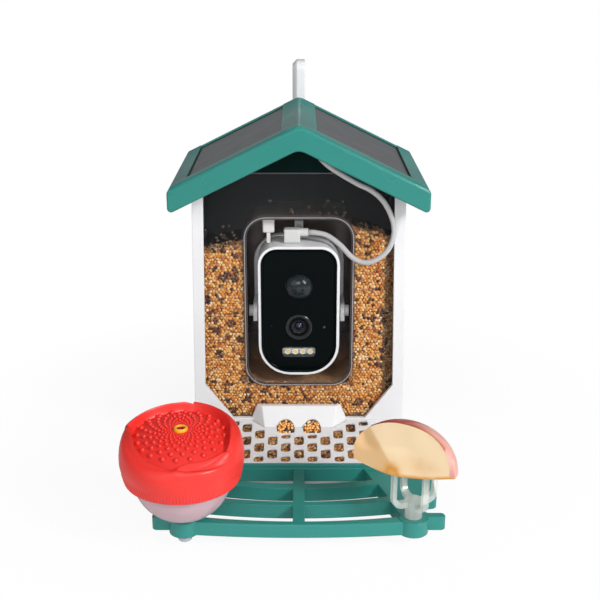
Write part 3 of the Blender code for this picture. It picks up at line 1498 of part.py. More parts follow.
# The cable's own route, by hand, from the grommet to the plug: (x, y, height above the eaves)
CABLE_ROUTE = [
    (0.0142, -0.0745, 0.0262),
    (0.0195, -0.0758, 0.0205),
    (0.0268, -0.0750, 0.0145),
    (0.0438, -0.0735, 0.0040),
    (0.0555, -0.0725, -0.0020),
    (0.0655, -0.0710, -0.0112),
    (0.0722, -0.0700, -0.0240),
    (0.0745, -0.0695, -0.0365),
    (0.0705, -0.0690, -0.0500),
    (0.0612, -0.0675, -0.0592),
    (0.0517, -0.0650, -0.0622),
    (0.0423, -0.0615, -0.0588),
    (0.0325, -0.0555, -0.0500),
    (0.0225, -0.0495, -0.0442),
]


def cable_route():
    """The route with its two straight ends, square to the grommet and to the plug's neck."""
    start = Vector((GROMMET_SIDE, GROMMET_FACE_Y - GAP, GROMMET_Z))
    end = Vector((NECK_END_X + GAP, PLUG_Y, NECK_Z))
    straight = 2 * CABLE_RADIUS
    middle = [start - Vector((0.0, straight, 0.0))]
    middle += [Vector((x, y, EAVE_HEIGHT + rise)) for x, y, rise in CABLE_ROUTE]
    middle += [end + Vector((straight, 0.0, 0.0))]
    return start, middle, end


def smooth_line(points, spacing):
    """Even steps along a smooth curve through the points, by centripetal Catmull-Rom."""
    fine = []
    guides = [2 * points[0] - points[1]] + points + [2 * points[-1] - points[-2]]
    for p0, p1, p2, p3 in zip(guides, guides[1:], guides[2:], guides[3:]):
        t1 = (p1 - p0).length ** 0.5
        t2 = t1 + (p2 - p1).length ** 0.5
        t3 = t2 + (p3 - p2).length ** 0.5
        for step in range(12):
            t = t1 + (t2 - t1) * step / 12
            a1 = (t1 - t) / t1 * p0 + t / t1 * p1
            a2 = (t2 - t) / (t2 - t1) * p1 + (t - t1) / (t2 - t1) * p2
            a3 = (t3 - t) / (t3 - t2) * p2 + (t - t2) / (t3 - t2) * p3
            b1 = (t2 - t) / t2 * a1 + t / t2 * a2
            b2 = (t3 - t) / (t3 - t1) * a2 + (t - t1) / (t3 - t1) * a3
            fine.append((t2 - t) / (t2 - t1) * b1 + (t - t1) / (t2 - t1) * b2)
    fine.append(points[-1])
    total = sum((b - a).length for a, b in zip(fine, fine[1:]))
    count = max(2, round(total / spacing))
    line = [fine[0]]
    travelled = 0.0
    target = total / count
    for a, b in zip(fine, fine[1:]):
        length = (b - a).length
        while len(line) < count and travelled + length >= target * len(line):
            share = (target * len(line) - travelled) / length
            line.append(a.lerp(b, share))
        travelled += length
    line.append(fine[-1])
    return line, total


def make_cable():
    """The white charging cable, from the grommet under the gable to the camera's plug."""
    start, middle, end = cable_route()
    line, total = smooth_line(middle, 2 * 2 * CABLE_RADIUS)
    line = [start] + line + [end]
    total += (line[1] - start).length + (end - line[-2]).length
    curve = bpy.data.curves.new("solar_cable", "CURVE")
    curve.dimensions = "3D"
    curve.bevel_depth = CABLE_RADIUS
    curve.bevel_resolution = 2
    curve.use_fill_caps = True
    spline = curve.splines.new("POLY")
    spline.points.add(len(line) - 1)
    for point, place in zip(spline.points, line):
        point.co = (*place, 1.0)
    cable = bpy.data.objects.new("solar_cable", curve)
    PARTS.objects.link(cable)
    curve.materials.append(finish("solar_cable", (0.82, 0.82, 0.82), 0.5))
    print(f"cable length {total * 1000:.1f} mm")


def slot_outline(rear_y, front_y, rear_radius, front_radius, side):
    """One opening of the perch's right half, between two bowed bars."""
    inner = PERCH_SPINE / 2
    if rear_radius:
        rear = arc_points(rear_y, rear_radius, inner, side - SLOT_SLANT)
    else:
        rear = [(inner, rear_y), (side - SLOT_SLANT, rear_y)]
    front = arc_points(front_y, front_radius, inner, side)
    return rear + front[::-1]


def perch_outline():
    """Plan of the perch: straight back rail, side wings, ears, bosses and a bowed front bar."""
    rail_back = PAN_FRONT_Y - GAP
    wing_front = FRONT_Y - BAR_THREE_FRONT
    wing_y = arc_points(wing_front, BAR_THREE_FRONT_RADIUS, PERCH_HALF_WIDTH, PERCH_HALF_WIDTH, 1)[0][1]
    notch_y = arc_points(wing_front, BAR_THREE_FRONT_RADIUS, NOTCH_SIDE, NOTCH_SIDE, 1)[0][1]
    ear_y = FRONT_Y - EAR_REACH
    half_ear = EAR_THICKNESS / 2
    boss_front = math.sqrt(BOSS_RADIUS ** 2 - half_ear ** 2)
    right = [
        (0.0, rail_back, 0.0),
        (PERCH_HALF_WIDTH, rail_back, PERCH_CORNER_RADIUS),
        (PERCH_HALF_WIDTH, wing_y, PERCH_CORNER_RADIUS),
        (NOTCH_SIDE, notch_y, PERCH_CORNER_RADIUS / 2),
        (NOTCH_SIDE, ear_y + half_ear, PERCH_CORNER_RADIUS / 2),
        (EAR_SIDE, ear_y + half_ear, half_ear * EAR_ROUND_SHARE),
        (EAR_SIDE, ear_y - half_ear, half_ear * EAR_ROUND_SHARE),
        (BOSS_SIDE + boss_front, ear_y - half_ear, 0.0),
    ]
    front = arc_points(FRONT_Y - PERCH_REACH, PERCH_FRONT_RADIUS, -BOSS_SIDE, BOSS_SIDE, 2 * ARC_STEPS)
    left = [(-x, y, radius) for x, y, radius in right[1:]]
    corners = right + [(x, y, 0.0) for x, y in front[::-1]] + left[::-1]
    return rounded(corners, 4)


def perch_screw_places():
    """Sideways places of the screws that hold the perch to the pan."""
    return (-PERCH_SCREW_SIDE, PERCH_SCREW_SIDE)


def perch_screw_z():
    """Height of the perch's screws, which run from inside the pan into the perch's wings."""
    return (PERCH_FOOT + PERCH_TOP) / 2


def make_perch():
    """The green perch: bowed bars joined by a spine, with a socket boss at each end."""
    perch = piece("perch", prism("Z", perch_outline(), PERCH_FOOT, PERCH_TOP), GREEN)
    soften(perch, PERCH_EDGE, 1, 60)
    rail_back = PAN_FRONT_Y - GAP
    rail_front = rail_back - PERCH_RAIL
    join(
        perch,
        block(-RAIL_SIDE, RAIL_SIDE, rail_front + GAP, rail_back - GAP,
              PERCH_TOP - PERCH_EDGE, deck_z(TRAY_FRONT_Y) - GAP),
        "rail",
    )
    for side in (-1, 1):
        join(
            perch,
            rod("Z", BOSS_RADIUS, PERCH_FOOT - BOSS_LIP, BOSS_TOP, side * BOSS_SIDE, BOSS_Y, 28),
            "boss",
        )
        cut(
            perch,
            rod("Z", BOSS_BORE, PERCH_FOOT - OVERRUN, PERCH_TOP + OVERRUN, side * BOSS_SIDE, BOSS_Y, 20),
            "bore",
        )
    openings = (
        (rail_front, FRONT_Y - BAR_TWO_REAR, 0.0, BAR_TWO_REAR_RADIUS, SLOT_ONE_SIDE),
        (FRONT_Y - BAR_TWO_FRONT, FRONT_Y - BAR_THREE_REAR,
         BAR_TWO_FRONT_RADIUS, BAR_THREE_REAR_RADIUS, SLOT_TWO_SIDE),
        (FRONT_Y - BAR_THREE_FRONT, FRONT_Y - BAR_FRONT_REAR,
         BAR_THREE_FRONT_RADIUS, BAR_FRONT_REAR_RADIUS, SLOT_THREE_SIDE),
    )
    for row, values in enumerate(openings):
        outline = slot_outline(*values)
        for side in (-1, 1):
            points = [(side * x, y) for x, y in outline]
            cut(perch, prism("Z", points, PERCH_FOOT - OVERRUN, PERCH_TOP + OVERRUN), f"opening_{row}")
    seat = PAN_FRONT_Y + PAN_WALL + GAP
    for x, label in zip(perch_screw_places(), ("left", "right")):
        cut(
            perch,
            rod("Y", PERCH_SCREW_RADIUS + GAP, seat - PERCH_SCREW_LENGTH - GAP, rail_back + OVERRUN,
                x, perch_screw_z(), 10),
            "screw_hole",
        )
        head = rod("Y", PERCH_SCREW_HEAD, seat, seat + PERCH_SCREW_HEAD_LENGTH, x, perch_screw_z(), 12)
        shank = rod(
            "Y", PERCH_SCREW_RADIUS, seat - PERCH_SCREW_LENGTH, seat + GAP, x, perch_screw_z(), 10
        )
        join(piece(f"perch_screw_{label}", head, STEEL), shank, "shank")


def make_nectar_feeder():
    """A round bowl on a peg, under a red flower lid with a yellow port."""
    foot = BOSS_TOP + GAP
    centre = foot + BOWL_CENTRE_RISE
    outer = []
    inner = []
    for step in range(9):
        angle = -math.pi / 2 * step / 8 + 0.0
        outer.append((BOWL_RADIUS * math.cos(angle), centre + BOWL_RADIUS * math.sin(angle)))
        inner.append(
            ((BOWL_RADIUS - BOWL_WALL) * math.cos(angle),
             centre + (BOWL_RADIUS - BOWL_WALL) * math.sin(angle))
        )
    outer = [point for point in outer if point[0] > BOWL_FOOT_RADIUS]
    inner = [point for point in inner if point[0] > BOWL_FOOT_RADIUS]
    rim = foot + BOWL_RIM_RISE
    bowl_profile = (
        [(BOWL_RIM_RADIUS, rim), (BOWL_RIM_RADIUS, centre + BOWL_WALL)]
        + outer
        + [
            (BOWL_FOOT_RADIUS, foot),
            (PEG_RADIUS, foot),
            (PEG_RADIUS, foot - PEG_LENGTH + PEG_RADIUS / 4),
            (PEG_RADIUS * 0.8, foot - PEG_LENGTH),
            (0.0, foot - PEG_LENGTH),
        ]
    )
    hollow = (
        [(0.0, rim + OVERRUN), (BOWL_RIM_RADIUS - BOWL_WALL, rim + OVERRUN),
         (BOWL_RIM_RADIUS - BOWL_WALL, centre + BOWL_WALL)]
        + inner
        + [(0.0, centre - BOWL_RADIUS + BOWL_WALL + WALL)]
    )
    bowl = turned_piece(
        "nectar_bowl", [(0.0, rim)] + bowl_profile, ((0.78, 0.66, 0.68), 0.15, 0.0, 0.5), 40
    )
    cut(bowl, turned_cutter("bowl_hollow", hollow, 40))
    lid_profile = [
        (0.0, foot + LID_TOP_RISE),
        (LID_DISC_RADIUS, foot + LID_TOP_RISE - LID_THICKNESS / 3),
        (LID_RIM_RADIUS - LID_THICKNESS / 2, foot + LID_RIM_RISE - LID_THICKNESS / 6),
        (LID_RIM_RADIUS, foot + LID_RIM_RISE),
        (LID_RIM_RADIUS + LID_THICKNESS, foot + LID_RIM_RISE - LID_THICKNESS / 2),
        (LID_SHOULDER_RADIUS, foot + LID_SHOULDER_RISE),
        ((LID_SHOULDER_RADIUS + LID_RADIUS) / 2 + LID_THICKNESS / 3,
         foot + (LID_SHOULDER_RISE + LID_WIDE_RISE) / 2),
        (LID_RADIUS, foot + LID_WIDE_RISE),
        ((LID_RADIUS + LID_SKIRT_RADIUS) / 2 + LID_THICKNESS / 4,
         foot + (LID_WIDE_RISE + LID_SKIRT_RISE) / 2),
        (LID_SKIRT_RADIUS, foot + LID_SKIRT_RISE),
        (0.0, foot + LID_SKIRT_RISE),
    ]
    lid = turned_piece("nectar_lid", lid_profile, ((0.85, 0.035, 0.03), 0.4), 40)
    seat = BOWL_RIM_RADIUS + GAP
    lid_hollow = [
        (0.0, foot + LID_CEILING_RISE),
        (seat, foot + LID_CEILING_RISE),
        (seat, foot + LID_WIDE_RISE),
        (LID_SKIRT_RADIUS - LID_THICKNESS, foot + LID_SKIRT_RISE + LID_THICKNESS),
        (LID_SKIRT_RADIUS - LID_THICKNESS, foot + LID_SKIRT_RISE - OVERRUN),
        (0.0, foot + LID_SKIRT_RISE - OVERRUN),
    ]
    cut(lid, turned_cutter("lid_hollow", lid_hollow, 40))
    cut(lid, rod("Z", LID_BORE, foot + LID_CEILING_RISE - OVERRUN, foot + LID_RIM_RISE + OVERRUN, 0.0, 0.0, 16), "port_bore")
    top = foot + LID_TOP_RISE + GAP
    port = turned_piece(
        "nectar_port",
        [
            (PORT_RADIUS * 0.72, top + PORT_HEIGHT),
            (PORT_RADIUS, top + PORT_HEIGHT / 2),
            (PORT_RADIUS, top),
            (LID_BORE - GAP, top),
            (LID_BORE - GAP, top - PORT_TUBE_LENGTH),
            (PORT_BORE, top - PORT_TUBE_LENGTH),
            (PORT_BORE, top + PORT_HEIGHT / 2),
        ],
        ((0.95, 0.55, 0.03), 0.4),
        20,
    )
    for thing in (bowl, lid, port):
        thing.location = (-BOSS_SIDE, BOSS_Y, 0.0)
    for name in ("bowl_hollow", "lid_hollow", "nectar_lid_port_bore"):
        bpy.data.objects[name].location = (-BOSS_SIDE, BOSS_Y, 0.0)


def prong_outline(margin=0.0):
    """Side view of one fork arm: out from the hub, round a bend and up."""
    foot = BOSS_TOP + GAP
    low = foot + FORK_ARM_RISE
    outer = FORK_RADIUS + FORK_PRONG_THICKNESS / 2 + margin
    inner = FORK_RADIUS - FORK_PRONG_THICKNESS / 2 - margin
    top = foot + FORK_PRONG_TOP + margin
    return rounded(
        [
            (0.0, low, 0.0),
            (outer, low, FORK_BEND_RADIUS),
            (outer, top - FORK_PRONG_THICKNESS, 0.0),
            (FORK_RADIUS, top, 0.0),
            (inner, top - FORK_PRONG_THICKNESS, 0.0),
            (inner, low + FORK_ARM_HEIGHT, FORK_BEND_RADIUS - FORK_PRONG_THICKNESS),
            (0.0, low + FORK_ARM_HEIGHT, 0.0),
        ],
        4,
    )


def make_fork_and_apple():
    """The clear four-pronged fork and the wedge of apple pressed on it."""
    foot = BOSS_TOP + GAP
    fork = piece(
        "fruit_fork",
        rod("Z", FORK_HUB_RADIUS, foot, foot + FORK_ARM_RISE + FORK_ARM_HEIGHT, BOSS_SIDE, BOSS_Y, 20),
        ((0.85, 0.86, 0.85), 0.1, 0.0, 0.45),
    )
    join(
        fork,
        rod("Z", FORK_PEG_RADIUS, foot - FORK_PEG_LENGTH, foot + GAP, BOSS_SIDE, BOSS_Y, 20),
        "peg",
    )
    apple_place = (
        Matrix.Translation(
            (BOSS_SIDE + APPLE_SIDE_SHIFT, BOSS_Y + APPLE_FRONT_SHIFT, foot + APPLE_RISE)
        )
        @ Matrix.Rotation(APPLE_YAW, 4, "Z")
    )
    bm = bmesh.new()
    bmesh.ops.create_uvsphere(bm, u_segments=24, v_segments=14, radius=1.0)
    bmesh.ops.rotate(bm, verts=bm.verts, cent=(0.0, 0.0, 0.0), matrix=Matrix.Rotation(math.pi / 2, 3, "Y"))
    bmesh.ops.scale(bm, verts=bm.verts, vec=(APPLE_HALF_LENGTH, APPLE_RADIUS, APPLE_RADIUS))
    apple = piece("apple_wedge", mesh_of(bm, "apple_wedge"), ((0.92, 0.74, 0.46), 0.5))
    apple.matrix_world = apple_place
    reach = 2 * APPLE_RADIUS
    slice_outline = [
        (-APPLE_CORE_SHIFT, APPLE_CORE_SHIFT / 2),
        (reach, APPLE_CORE_SHIFT / 2),
        (reach, reach),
        (reach * math.cos(APPLE_LEAN), reach * math.sin(APPLE_LEAN)),
    ]
    slice_shape = cutter("apple_slice_shape", prism("X", slice_outline, -reach, reach))
    slice_shape.matrix_world = apple_place
    combine(apple, slice_shape, "INTERSECT")
    for index in range(PRONG_COUNT):
        turn = Matrix.Translation((BOSS_SIDE, BOSS_Y, 0.0)) @ Matrix.Rotation(
            FORK_TURN + index * 2 * math.pi / PRONG_COUNT, 4, "Z"
        )
        arm = cutter(
            f"fork_arm_{index}",
            prism("Y", prong_outline(), -FORK_PRONG_WIDTH / 2, FORK_PRONG_WIDTH / 2),
        )
        arm.matrix_world = turn
        join(fork, arm)
        slot = cutter(
            f"apple_slot_{index}",
            block(FORK_RADIUS - FORK_PRONG_THICKNESS / 2 - APPLE_SLOT_CLEARANCE,
                  FORK_RADIUS + FORK_PRONG_THICKNESS / 2 + APPLE_SLOT_CLEARANCE,
                  -FORK_PRONG_WIDTH / 2 - APPLE_SLOT_CLEARANCE,
                  FORK_PRONG_WIDTH / 2 + APPLE_SLOT_CLEARANCE,
                  foot, foot + FORK_PRONG_TOP + GAP),
        )
        slot.matrix_world = turn
        cut(apple, slot)


def make_back():
    """The plate on the back with the hook's socket, the swivelling hook, its clip and the screws."""
    top = EAVE_HEIGHT - BACK_PLATE_TOP_DROP
    near = REAR_Y + GAP
    far = near + BACK_PLATE_THICKNESS
    plate = piece(
        "back_plate",
        prism("Y", rounded_box(BACK_PLATE_WIDTH / 2, BACK_PLATE_FOOT, top, BACK_PLATE_RADIUS, 4), near, far),
        WHITE,
    )
    socket_low = top - SOCKET_HEIGHT
    plan = rounded(
        [
            (-SOCKET_WIDTH / 2, near + GAP, 0.0),
            (SOCKET_WIDTH / 2, near + GAP, 0.0),
            (SOCKET_WIDTH / 2, near + SOCKET_REACH, SOCKET_WIDTH / 3),
            (-SOCKET_WIDTH / 2, near + SOCKET_REACH, SOCKET_WIDTH / 3),
        ],
        4,
    )
    join(plate, prism("Z", plan, socket_low, top), "socket")
    bore = rod(
        "Z", HOOK_PEG_RADIUS + HOOK_CLEARANCE, socket_low - OVERRUN, top + OVERRUN, 0.0, HOOK_Y, 32
    )
    cut(plate, bore, "hook_bore")
    for height, level in zip(screw_heights(), ("low", "high")):
        for side, hand in ((-BACK_SCREW_SIDE, "left"), (BACK_SCREW_SIDE, "right")):
            cut(
                plate,
                rod("Y", SCREW_RADIUS + GAP, near - OVERRUN, far + OVERRUN, side, height, 10),
                "screw_hole",
            )
            head = rod(
                "Y", SCREW_HEAD_RADIUS, far + GAP, far + GAP + SCREW_HEAD_LENGTH, side, height, 14
            )
            shank = rod(
                "Y", SCREW_RADIUS, far + GAP - SCREW_LENGTH, far + 2 * GAP, side, height, 10
            )
            join(piece(f"back_screw_{level}_{hand}", head, STEEL), shank, "shank")
    bar_low = top + GAP + HOOK_COLLAR_HEIGHT
    hook_top = EAVE_HEIGHT + HOOK_TOP_RISE
    near_y = -HOOK_BAR_DEPTH / 2
    far_y = near_y + HOOK_SPAN
    inner_radius = HOOK_CORNER_RADIUS - HOOK_BAR_DEPTH
    outline = rounded(
        [
            (near_y, bar_low, 0.0),
            (near_y, hook_top, HOOK_CORNER_RADIUS),
            (far_y, hook_top, HOOK_CORNER_RADIUS),
            (far_y, hook_top - HOOK_TIP_LENGTH, 0.0),
            (far_y - HOOK_BAR_DEPTH, hook_top - HOOK_TIP_LENGTH, 0.0),
            (far_y - HOOK_BAR_DEPTH, hook_top - HOOK_BAR_DEPTH, inner_radius),
            (HOOK_BAR_DEPTH / 2, hook_top - HOOK_BAR_DEPTH, inner_radius),
            (HOOK_BAR_DEPTH / 2, bar_low, 0.0),
        ],
        6,
    )
    hook = piece(
        "hanging_hook", prism("X", outline, -HOOK_BAR_WIDTH / 2, HOOK_BAR_WIDTH / 2), WHITE
    )
    soften(hook, HOOK_EDGE, 2)
    collar = rod("Z", HOOK_COLLAR_RADIUS, top + GAP, bar_low + GAP, 0.0, 0.0, 24)
    peg = rod(
        "Z", HOOK_PEG_RADIUS, socket_low - 2 * CLIP_THICKNESS - 2 * GAP, bar_low, 0.0, 0.0, 32
    )
    place = Matrix.Translation((0.0, HOOK_Y, 0.0)) @ Matrix.Rotation(HOOK_TURN, 4, "Z")
    for name, mesh in (("hook_collar", collar), ("hook_peg", peg)):
        shape = cutter(name, mesh)
        shape.matrix_world = place
        join(hook, shape)
    groove_low = socket_low - GAP - CLIP_THICKNESS - GAP / 2
    groove = turned_cutter(
        "hook_groove",
        [
            (HOOK_PEG_RADIUS + OVERRUN, groove_low + CLIP_THICKNESS + GAP),
            (HOOK_PEG_RADIUS + OVERRUN, groove_low - GAP / 2),
            (HOOK_PEG_RADIUS * 0.8, groove_low - GAP / 2),
            (HOOK_PEG_RADIUS * 0.8, groove_low + CLIP_THICKNESS + GAP),
        ],
        24,
    )
    groove.matrix_world = place
    cut(hook, groove)
    hook.matrix_world = place
    clip = turned_piece(
        "hook_clip",
        [
            (CLIP_RADIUS, socket_low - GAP),
            (CLIP_RADIUS, socket_low - GAP - CLIP_THICKNESS),
            (HOOK_PEG_RADIUS * 0.8 * CLIP_BORE_SHARE, socket_low - GAP - CLIP_THICKNESS),
            (HOOK_PEG_RADIUS * 0.8 * CLIP_BORE_SHARE, socket_low - GAP),
        ],
        STEEL,
        24,
    )
    clip.location = (0.0, HOOK_Y, 0.0)
    cut(
        clip,
        block(-CLIP_SLIT / 2, CLIP_SLIT / 2, HOOK_Y, HOOK_Y + CLIP_RADIUS + OVERRUN,
              socket_low - CLIP_THICKNESS - OVERRUN, socket_low + OVERRUN),
        "slit",
    )


make_housing()
make_front_frame()
make_window()
make_gable()
make_roof()
make_hinge_pins()
make_base()
make_deck()
make_hopper_floor()
make_seed()
make_camera()
make_bracket()
make_plug_and_cap()
make_cable()
make_perch()
make_nectar_feeder()
make_fork_and_apple()
make_back()
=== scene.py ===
# %% [markdown]
# A bird feeder shaped like a small house: a solar roof, a window with a camera, a slotted seed
# tray, a green perch, a nectar bowl and a fruit fork. The solids come from the CAD model. This
# script puts the camera where the photograph was taken from, gives every surface its finish,
# and replaces the pieces whose real form is finer than a solid needs. Lengths are in metres,
# the front of the feeder looks towards -y, and z is up.

# %% Load the CAD frame
import math

import bpy
import numpy as np
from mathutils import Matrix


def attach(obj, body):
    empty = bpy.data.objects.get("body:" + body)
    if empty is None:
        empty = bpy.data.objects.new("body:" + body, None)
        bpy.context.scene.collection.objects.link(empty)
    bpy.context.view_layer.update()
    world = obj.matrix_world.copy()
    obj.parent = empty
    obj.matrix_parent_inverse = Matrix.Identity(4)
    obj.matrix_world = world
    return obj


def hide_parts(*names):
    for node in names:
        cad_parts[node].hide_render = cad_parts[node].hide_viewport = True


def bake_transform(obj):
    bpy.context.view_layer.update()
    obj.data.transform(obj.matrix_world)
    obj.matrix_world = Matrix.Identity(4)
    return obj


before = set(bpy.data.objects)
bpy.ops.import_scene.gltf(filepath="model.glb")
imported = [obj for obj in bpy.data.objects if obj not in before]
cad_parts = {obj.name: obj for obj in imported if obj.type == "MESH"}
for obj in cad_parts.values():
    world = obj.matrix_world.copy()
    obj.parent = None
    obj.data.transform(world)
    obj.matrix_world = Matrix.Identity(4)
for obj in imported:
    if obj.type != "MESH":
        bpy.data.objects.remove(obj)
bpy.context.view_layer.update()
rng = np.random.default_rng(7)

# %% [markdown]
# The photograph was taken from the front, looking down at 19 degrees. A camera could be moved by
# eye until the picture fits. Its place here comes from the photograph's own straight lines, such
# as the edges of the roof and of the window, because they fix height, tilt and lens together.

# %% Camera
LOOK_DOWN = 19
camera_data = bpy.data.cameras.new("photo_camera")
camera_data.lens = 62.5
camera_data.sensor_width = 36.0
camera_data.clip_start = 0.01
camera = bpy.data.objects.new("photo_camera", camera_data)
camera.location = (0.0009, -0.857, 0.415)
camera.rotation_euler = (math.radians(90 - LOOK_DOWN), 0.0, 0.0)
bpy.context.scene.collection.objects.link(camera)
bpy.context.scene.camera = camera
# Standard shows a colour about as it is written.
bpy.context.scene.view_settings.view_transform = "Standard"
print("camera at", tuple(camera.location), "looking down", LOOK_DOWN, "degrees")

# %% [markdown]
# Finishes. Plastic, rubber and metal are never quite even. A picture could be wrapped round each
# piece, but these finishes are shader nodes that read Object coordinates, so they need no
# unwrapping and a grain has the same size on every piece. A few short helpers make and join nodes.


# %% Nodes by name
def shader_of(material):
    """The material's Principled shader."""
    return material.node_tree.nodes["Principled BSDF"]


def wire(source, target):
    """Join a socket to another, or set the other to a plain value; a colour of three gets its alpha."""
    if isinstance(source, bpy.types.NodeSocket):
        target.id_data.links.new(source, target)
    elif target.type == "RGBA":
        target.default_value = (*source, 1.0)
    else:
        target.default_value = source


def tune(node, **values):
    """Feed a node's sockets, or set its settings, by name; an underscore stands for a blank."""
    for key, value in values.items():
        name = key.replace("_", " ")
        if name in node.inputs:
            wire(value, node.inputs[name])
        else:
            setattr(node, key, value)
    return node


def add(tree, kind, **values):
    """A new node of that kind in a node tree, tuned."""
    return tune(tree.nodes.new(kind), **values)


def finish(name, colour, roughness, alpha=1.0):
    """A new material with its Principled shader's plain values set on the sockets."""
    material = bpy.data.materials.new(name)
    material.use_nodes = True
    tune(shader_of(material), Base_Color=colour, Roughness=roughness, Alpha=alpha, IOR=1.46)
    print("finish", name)
    return material


# %% Patterns and mixes
def place(tree):
    """The Object coordinates of the piece that wears the finish."""
    return add(tree, "ShaderNodeTexCoord").outputs["Object"]


def speckle(tree, scale, detail=3.0):
    """A noise in Object coordinates."""
    return add(tree, "ShaderNodeTexNoise", Scale=scale, Detail=detail, Vector=place(tree)).outputs["Fac"]


def between(amount, low, high, start=0.0, end=1.0):
    """A number from low to high as the amount goes from start to end, and no further on either side."""
    span = add(amount.id_data, "ShaderNodeMapRange", Value=amount, From_Min=start, From_Max=end, To_Min=low,
               To_Max=high)
    return span.outputs["Result"]


def blended(amount, first, second):
    """A colour between two colours or sockets: (1 - amount) first + amount second."""
    mix = add(amount.id_data, "ShaderNodeMix", data_type="RGBA")
    for index, value in ((0, amount), (6, first), (7, second)):
        wire(value, mix.inputs[index])
    return mix.outputs[2]


# %% [markdown]
# Moulded plastic has a faint cloudiness, a gloss that changes a little and a grain that is more
# felt than seen. The mould also rounds its edges. They could be bevelled in the mesh, but the
# solids are loose triangles, so a Bevel node rounds the light on them instead.


# %% Moulded plastic
def moulded(name, colour, roughness, grain=1800.0, shade=0.06, alpha=1.0, relief=0.00002, edge=0.0):
    """Injection-moulded plastic: faint cloudiness, uneven gloss, a fine grain and softened edges."""
    material = finish(name, colour, roughness, alpha)
    tree = material.node_tree
    darker = tuple(c * (1 - shade) for c in colour)
    bump = add(tree, "ShaderNodeBump", Strength=0.25, Distance=relief, Height=speckle(tree, grain, 2.0))
    if edge:
        tune(bump, Normal=add(tree, "ShaderNodeBevel", Radius=edge, samples=6).outputs["Normal"])
    tune(shader_of(material), Base_Color=blended(speckle(tree, 22.0), colour, darker),
         Roughness=between(speckle(tree, 60.0), roughness - 0.04, roughness + 0.06),
         Normal=bump.outputs["Normal"])
    return material


def paint(material, *nodes):
    """Give CAD nodes this material."""
    for node in nodes:
        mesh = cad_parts[node].data
        mesh.materials.clear()
        mesh.materials.append(material)


# %% [markdown]
# The feeder's colours. Each piece could have a material to itself, but real pieces of one
# colour are moulded from one plastic, so they share it here too. The gable's near-black green is
# painted shade, for the deep shade under the roof. The gable and the camera's face mirror little
# in the photograph, so their Specular IOR Level is low.

# %% Plain finishes
white = moulded("white_plastic", (0.79, 0.79, 0.8), 0.42, edge=0.001)
green = moulded("green_plastic", (0.025, 0.25, 0.215), 0.3, 1400.0, 0.1, edge=0.0012)
roof_green = moulded("roof_plastic", (0.018, 0.22, 0.186), 0.28, 1400.0, 0.1, relief=0.000004, edge=0.0012)
# The gable's near-black green is painted shade for the shade under the roof.
gable_shade_green = moulded("gable_painted_shade", (0.0006, 0.013, 0.011), 0.5)
black = moulded("black_face", (0.0012, 0.0032, 0.0034), 0.07, 2400.0, 0.3, relief=0.000002)
for dull in (gable_shade_green, black):
    tune(shader_of(dull), Specular_IOR_Level=0.06)
steel = moulded("bright_steel", (0.6, 0.6, 0.61), 0.3, 900.0, 0.1, relief=0.00001)
tune(shader_of(steel), Metallic=1.0)
paint(white, "front_frame", "base_pan", "tray_deck", "camera_shell",
      "hopper_floor", "back_plate", "pivot_screw_left", "pivot_screw_right")
paint(green, "perch")
paint(roof_green, "roof_shell")
paint(gable_shade_green, "gable_panel")
paint(black, "camera_face")
paint(steel, "hinge_pin_front", "hinge_pin_rear", "bracket_screw", "perch_screw_left",
      "perch_screw_right", "back_screw_low_left", "back_screw_low_right", "back_screw_high_left",
      "back_screw_high_right", "hook_clip")

# %% Finishes that one or two pieces wear
# The bracket is lighter than the white plastic: painted light, for the light that reaches its arms through
# the clear pocket.
paint(moulded("bracket_painted_light", (0.93, 0.92, 0.92), 0.35), "camera_bracket")
paint(moulded("plug_plastic", (0.6, 0.6, 0.585), 0.45), "usb_plug")
paint(moulded("solar_laminate", (0.056, 0.056, 0.056), 0.3), "solar_panel_left", "solar_panel_right")
paint(moulded("smoked_dome", (0.01, 0.016, 0.018), 0.12, 900.0, 0.2, relief=0.000004), "pir_dome")
paint(moulded("board_mask", (0.02, 0.16, 0.08), 0.4), "camera_board", "image_sensor")
paint(moulded("cell_wrap", (0.1, 0.16, 0.4), 0.4), "battery_cell_left", "battery_cell_right")
paint(moulded("grey_rubber", (0.66, 0.64, 0.62), 0.6), "port_cap")
paint(moulded("black_rubber", (0.02, 0.02, 0.021), 0.6), "cable_grommet")

# %% [markdown]
# New pieces. A mesh is a list of points and a list of faces. It could be pulled into shape by
# hand. Here each surface is a grid whose points are worked out as whole arrays, because the faces
# then follow from the count of rows and columns.


# %% Meshes from grids
def new_piece(name, mesh, body, material):
    """An object at the origin with this mesh and finish, riding a body."""
    mesh.materials.append(material)
    thing = bpy.data.objects.new(name, mesh)
    bpy.context.scene.collection.objects.link(thing)
    if body:
        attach(thing, body)
    print("piece", name, len(mesh.polygons), "faces")
    return thing


def add_mesh(name, points, faces, body, material, sharp=None, smooth=True):
    """A mesh object at the origin from an (n, 3) array of points and a list of faces, riding a body."""
    mesh = bpy.data.meshes.new(name)
    mesh.from_pydata(np.asarray(points, float).tolist(), [], [list(map(int, face)) for face in faces])
    mesh.validate()
    mesh.update()
    if smooth:
        mesh.shade_smooth()
    if sharp:
        mesh.set_sharp_from_angle(angle=math.radians(sharp))
    return new_piece(name, mesh, body, material)


def grid_faces(rows, columns, wrap=False):
    """Quads of a grid of rows by columns, point (i, j) at i * columns + j, wrapped round in j."""
    i, j = np.meshgrid(np.arange(rows - 1), np.arange(columns if wrap else columns - 1), indexing="ij")
    k = (j + 1) % columns
    quads = [i * columns + j, i * columns + k, (i + 1) * columns + k, (i + 1) * columns + j]
    return np.stack(quads, -1).reshape(-1, 4)


def loft(loops):
    """Points and faces of a surface through closed loops of equal count, each an (n, 3) array."""
    return np.vstack(loops), grid_faces(len(loops), len(loops[0]), True)


print("a grid of 3 by 4 points has", len(grid_faces(3, 4)), "quads")


# %% [markdown]
# The roof's top is a raised border: the solar panels lie about 2 mm lower, so that a wall shows
# round each of them. The step could be cut with a Boolean. A grid whose lines run along the
# border's own edges gives it with clean quads, so each line has its place and its share of the
# border's height.

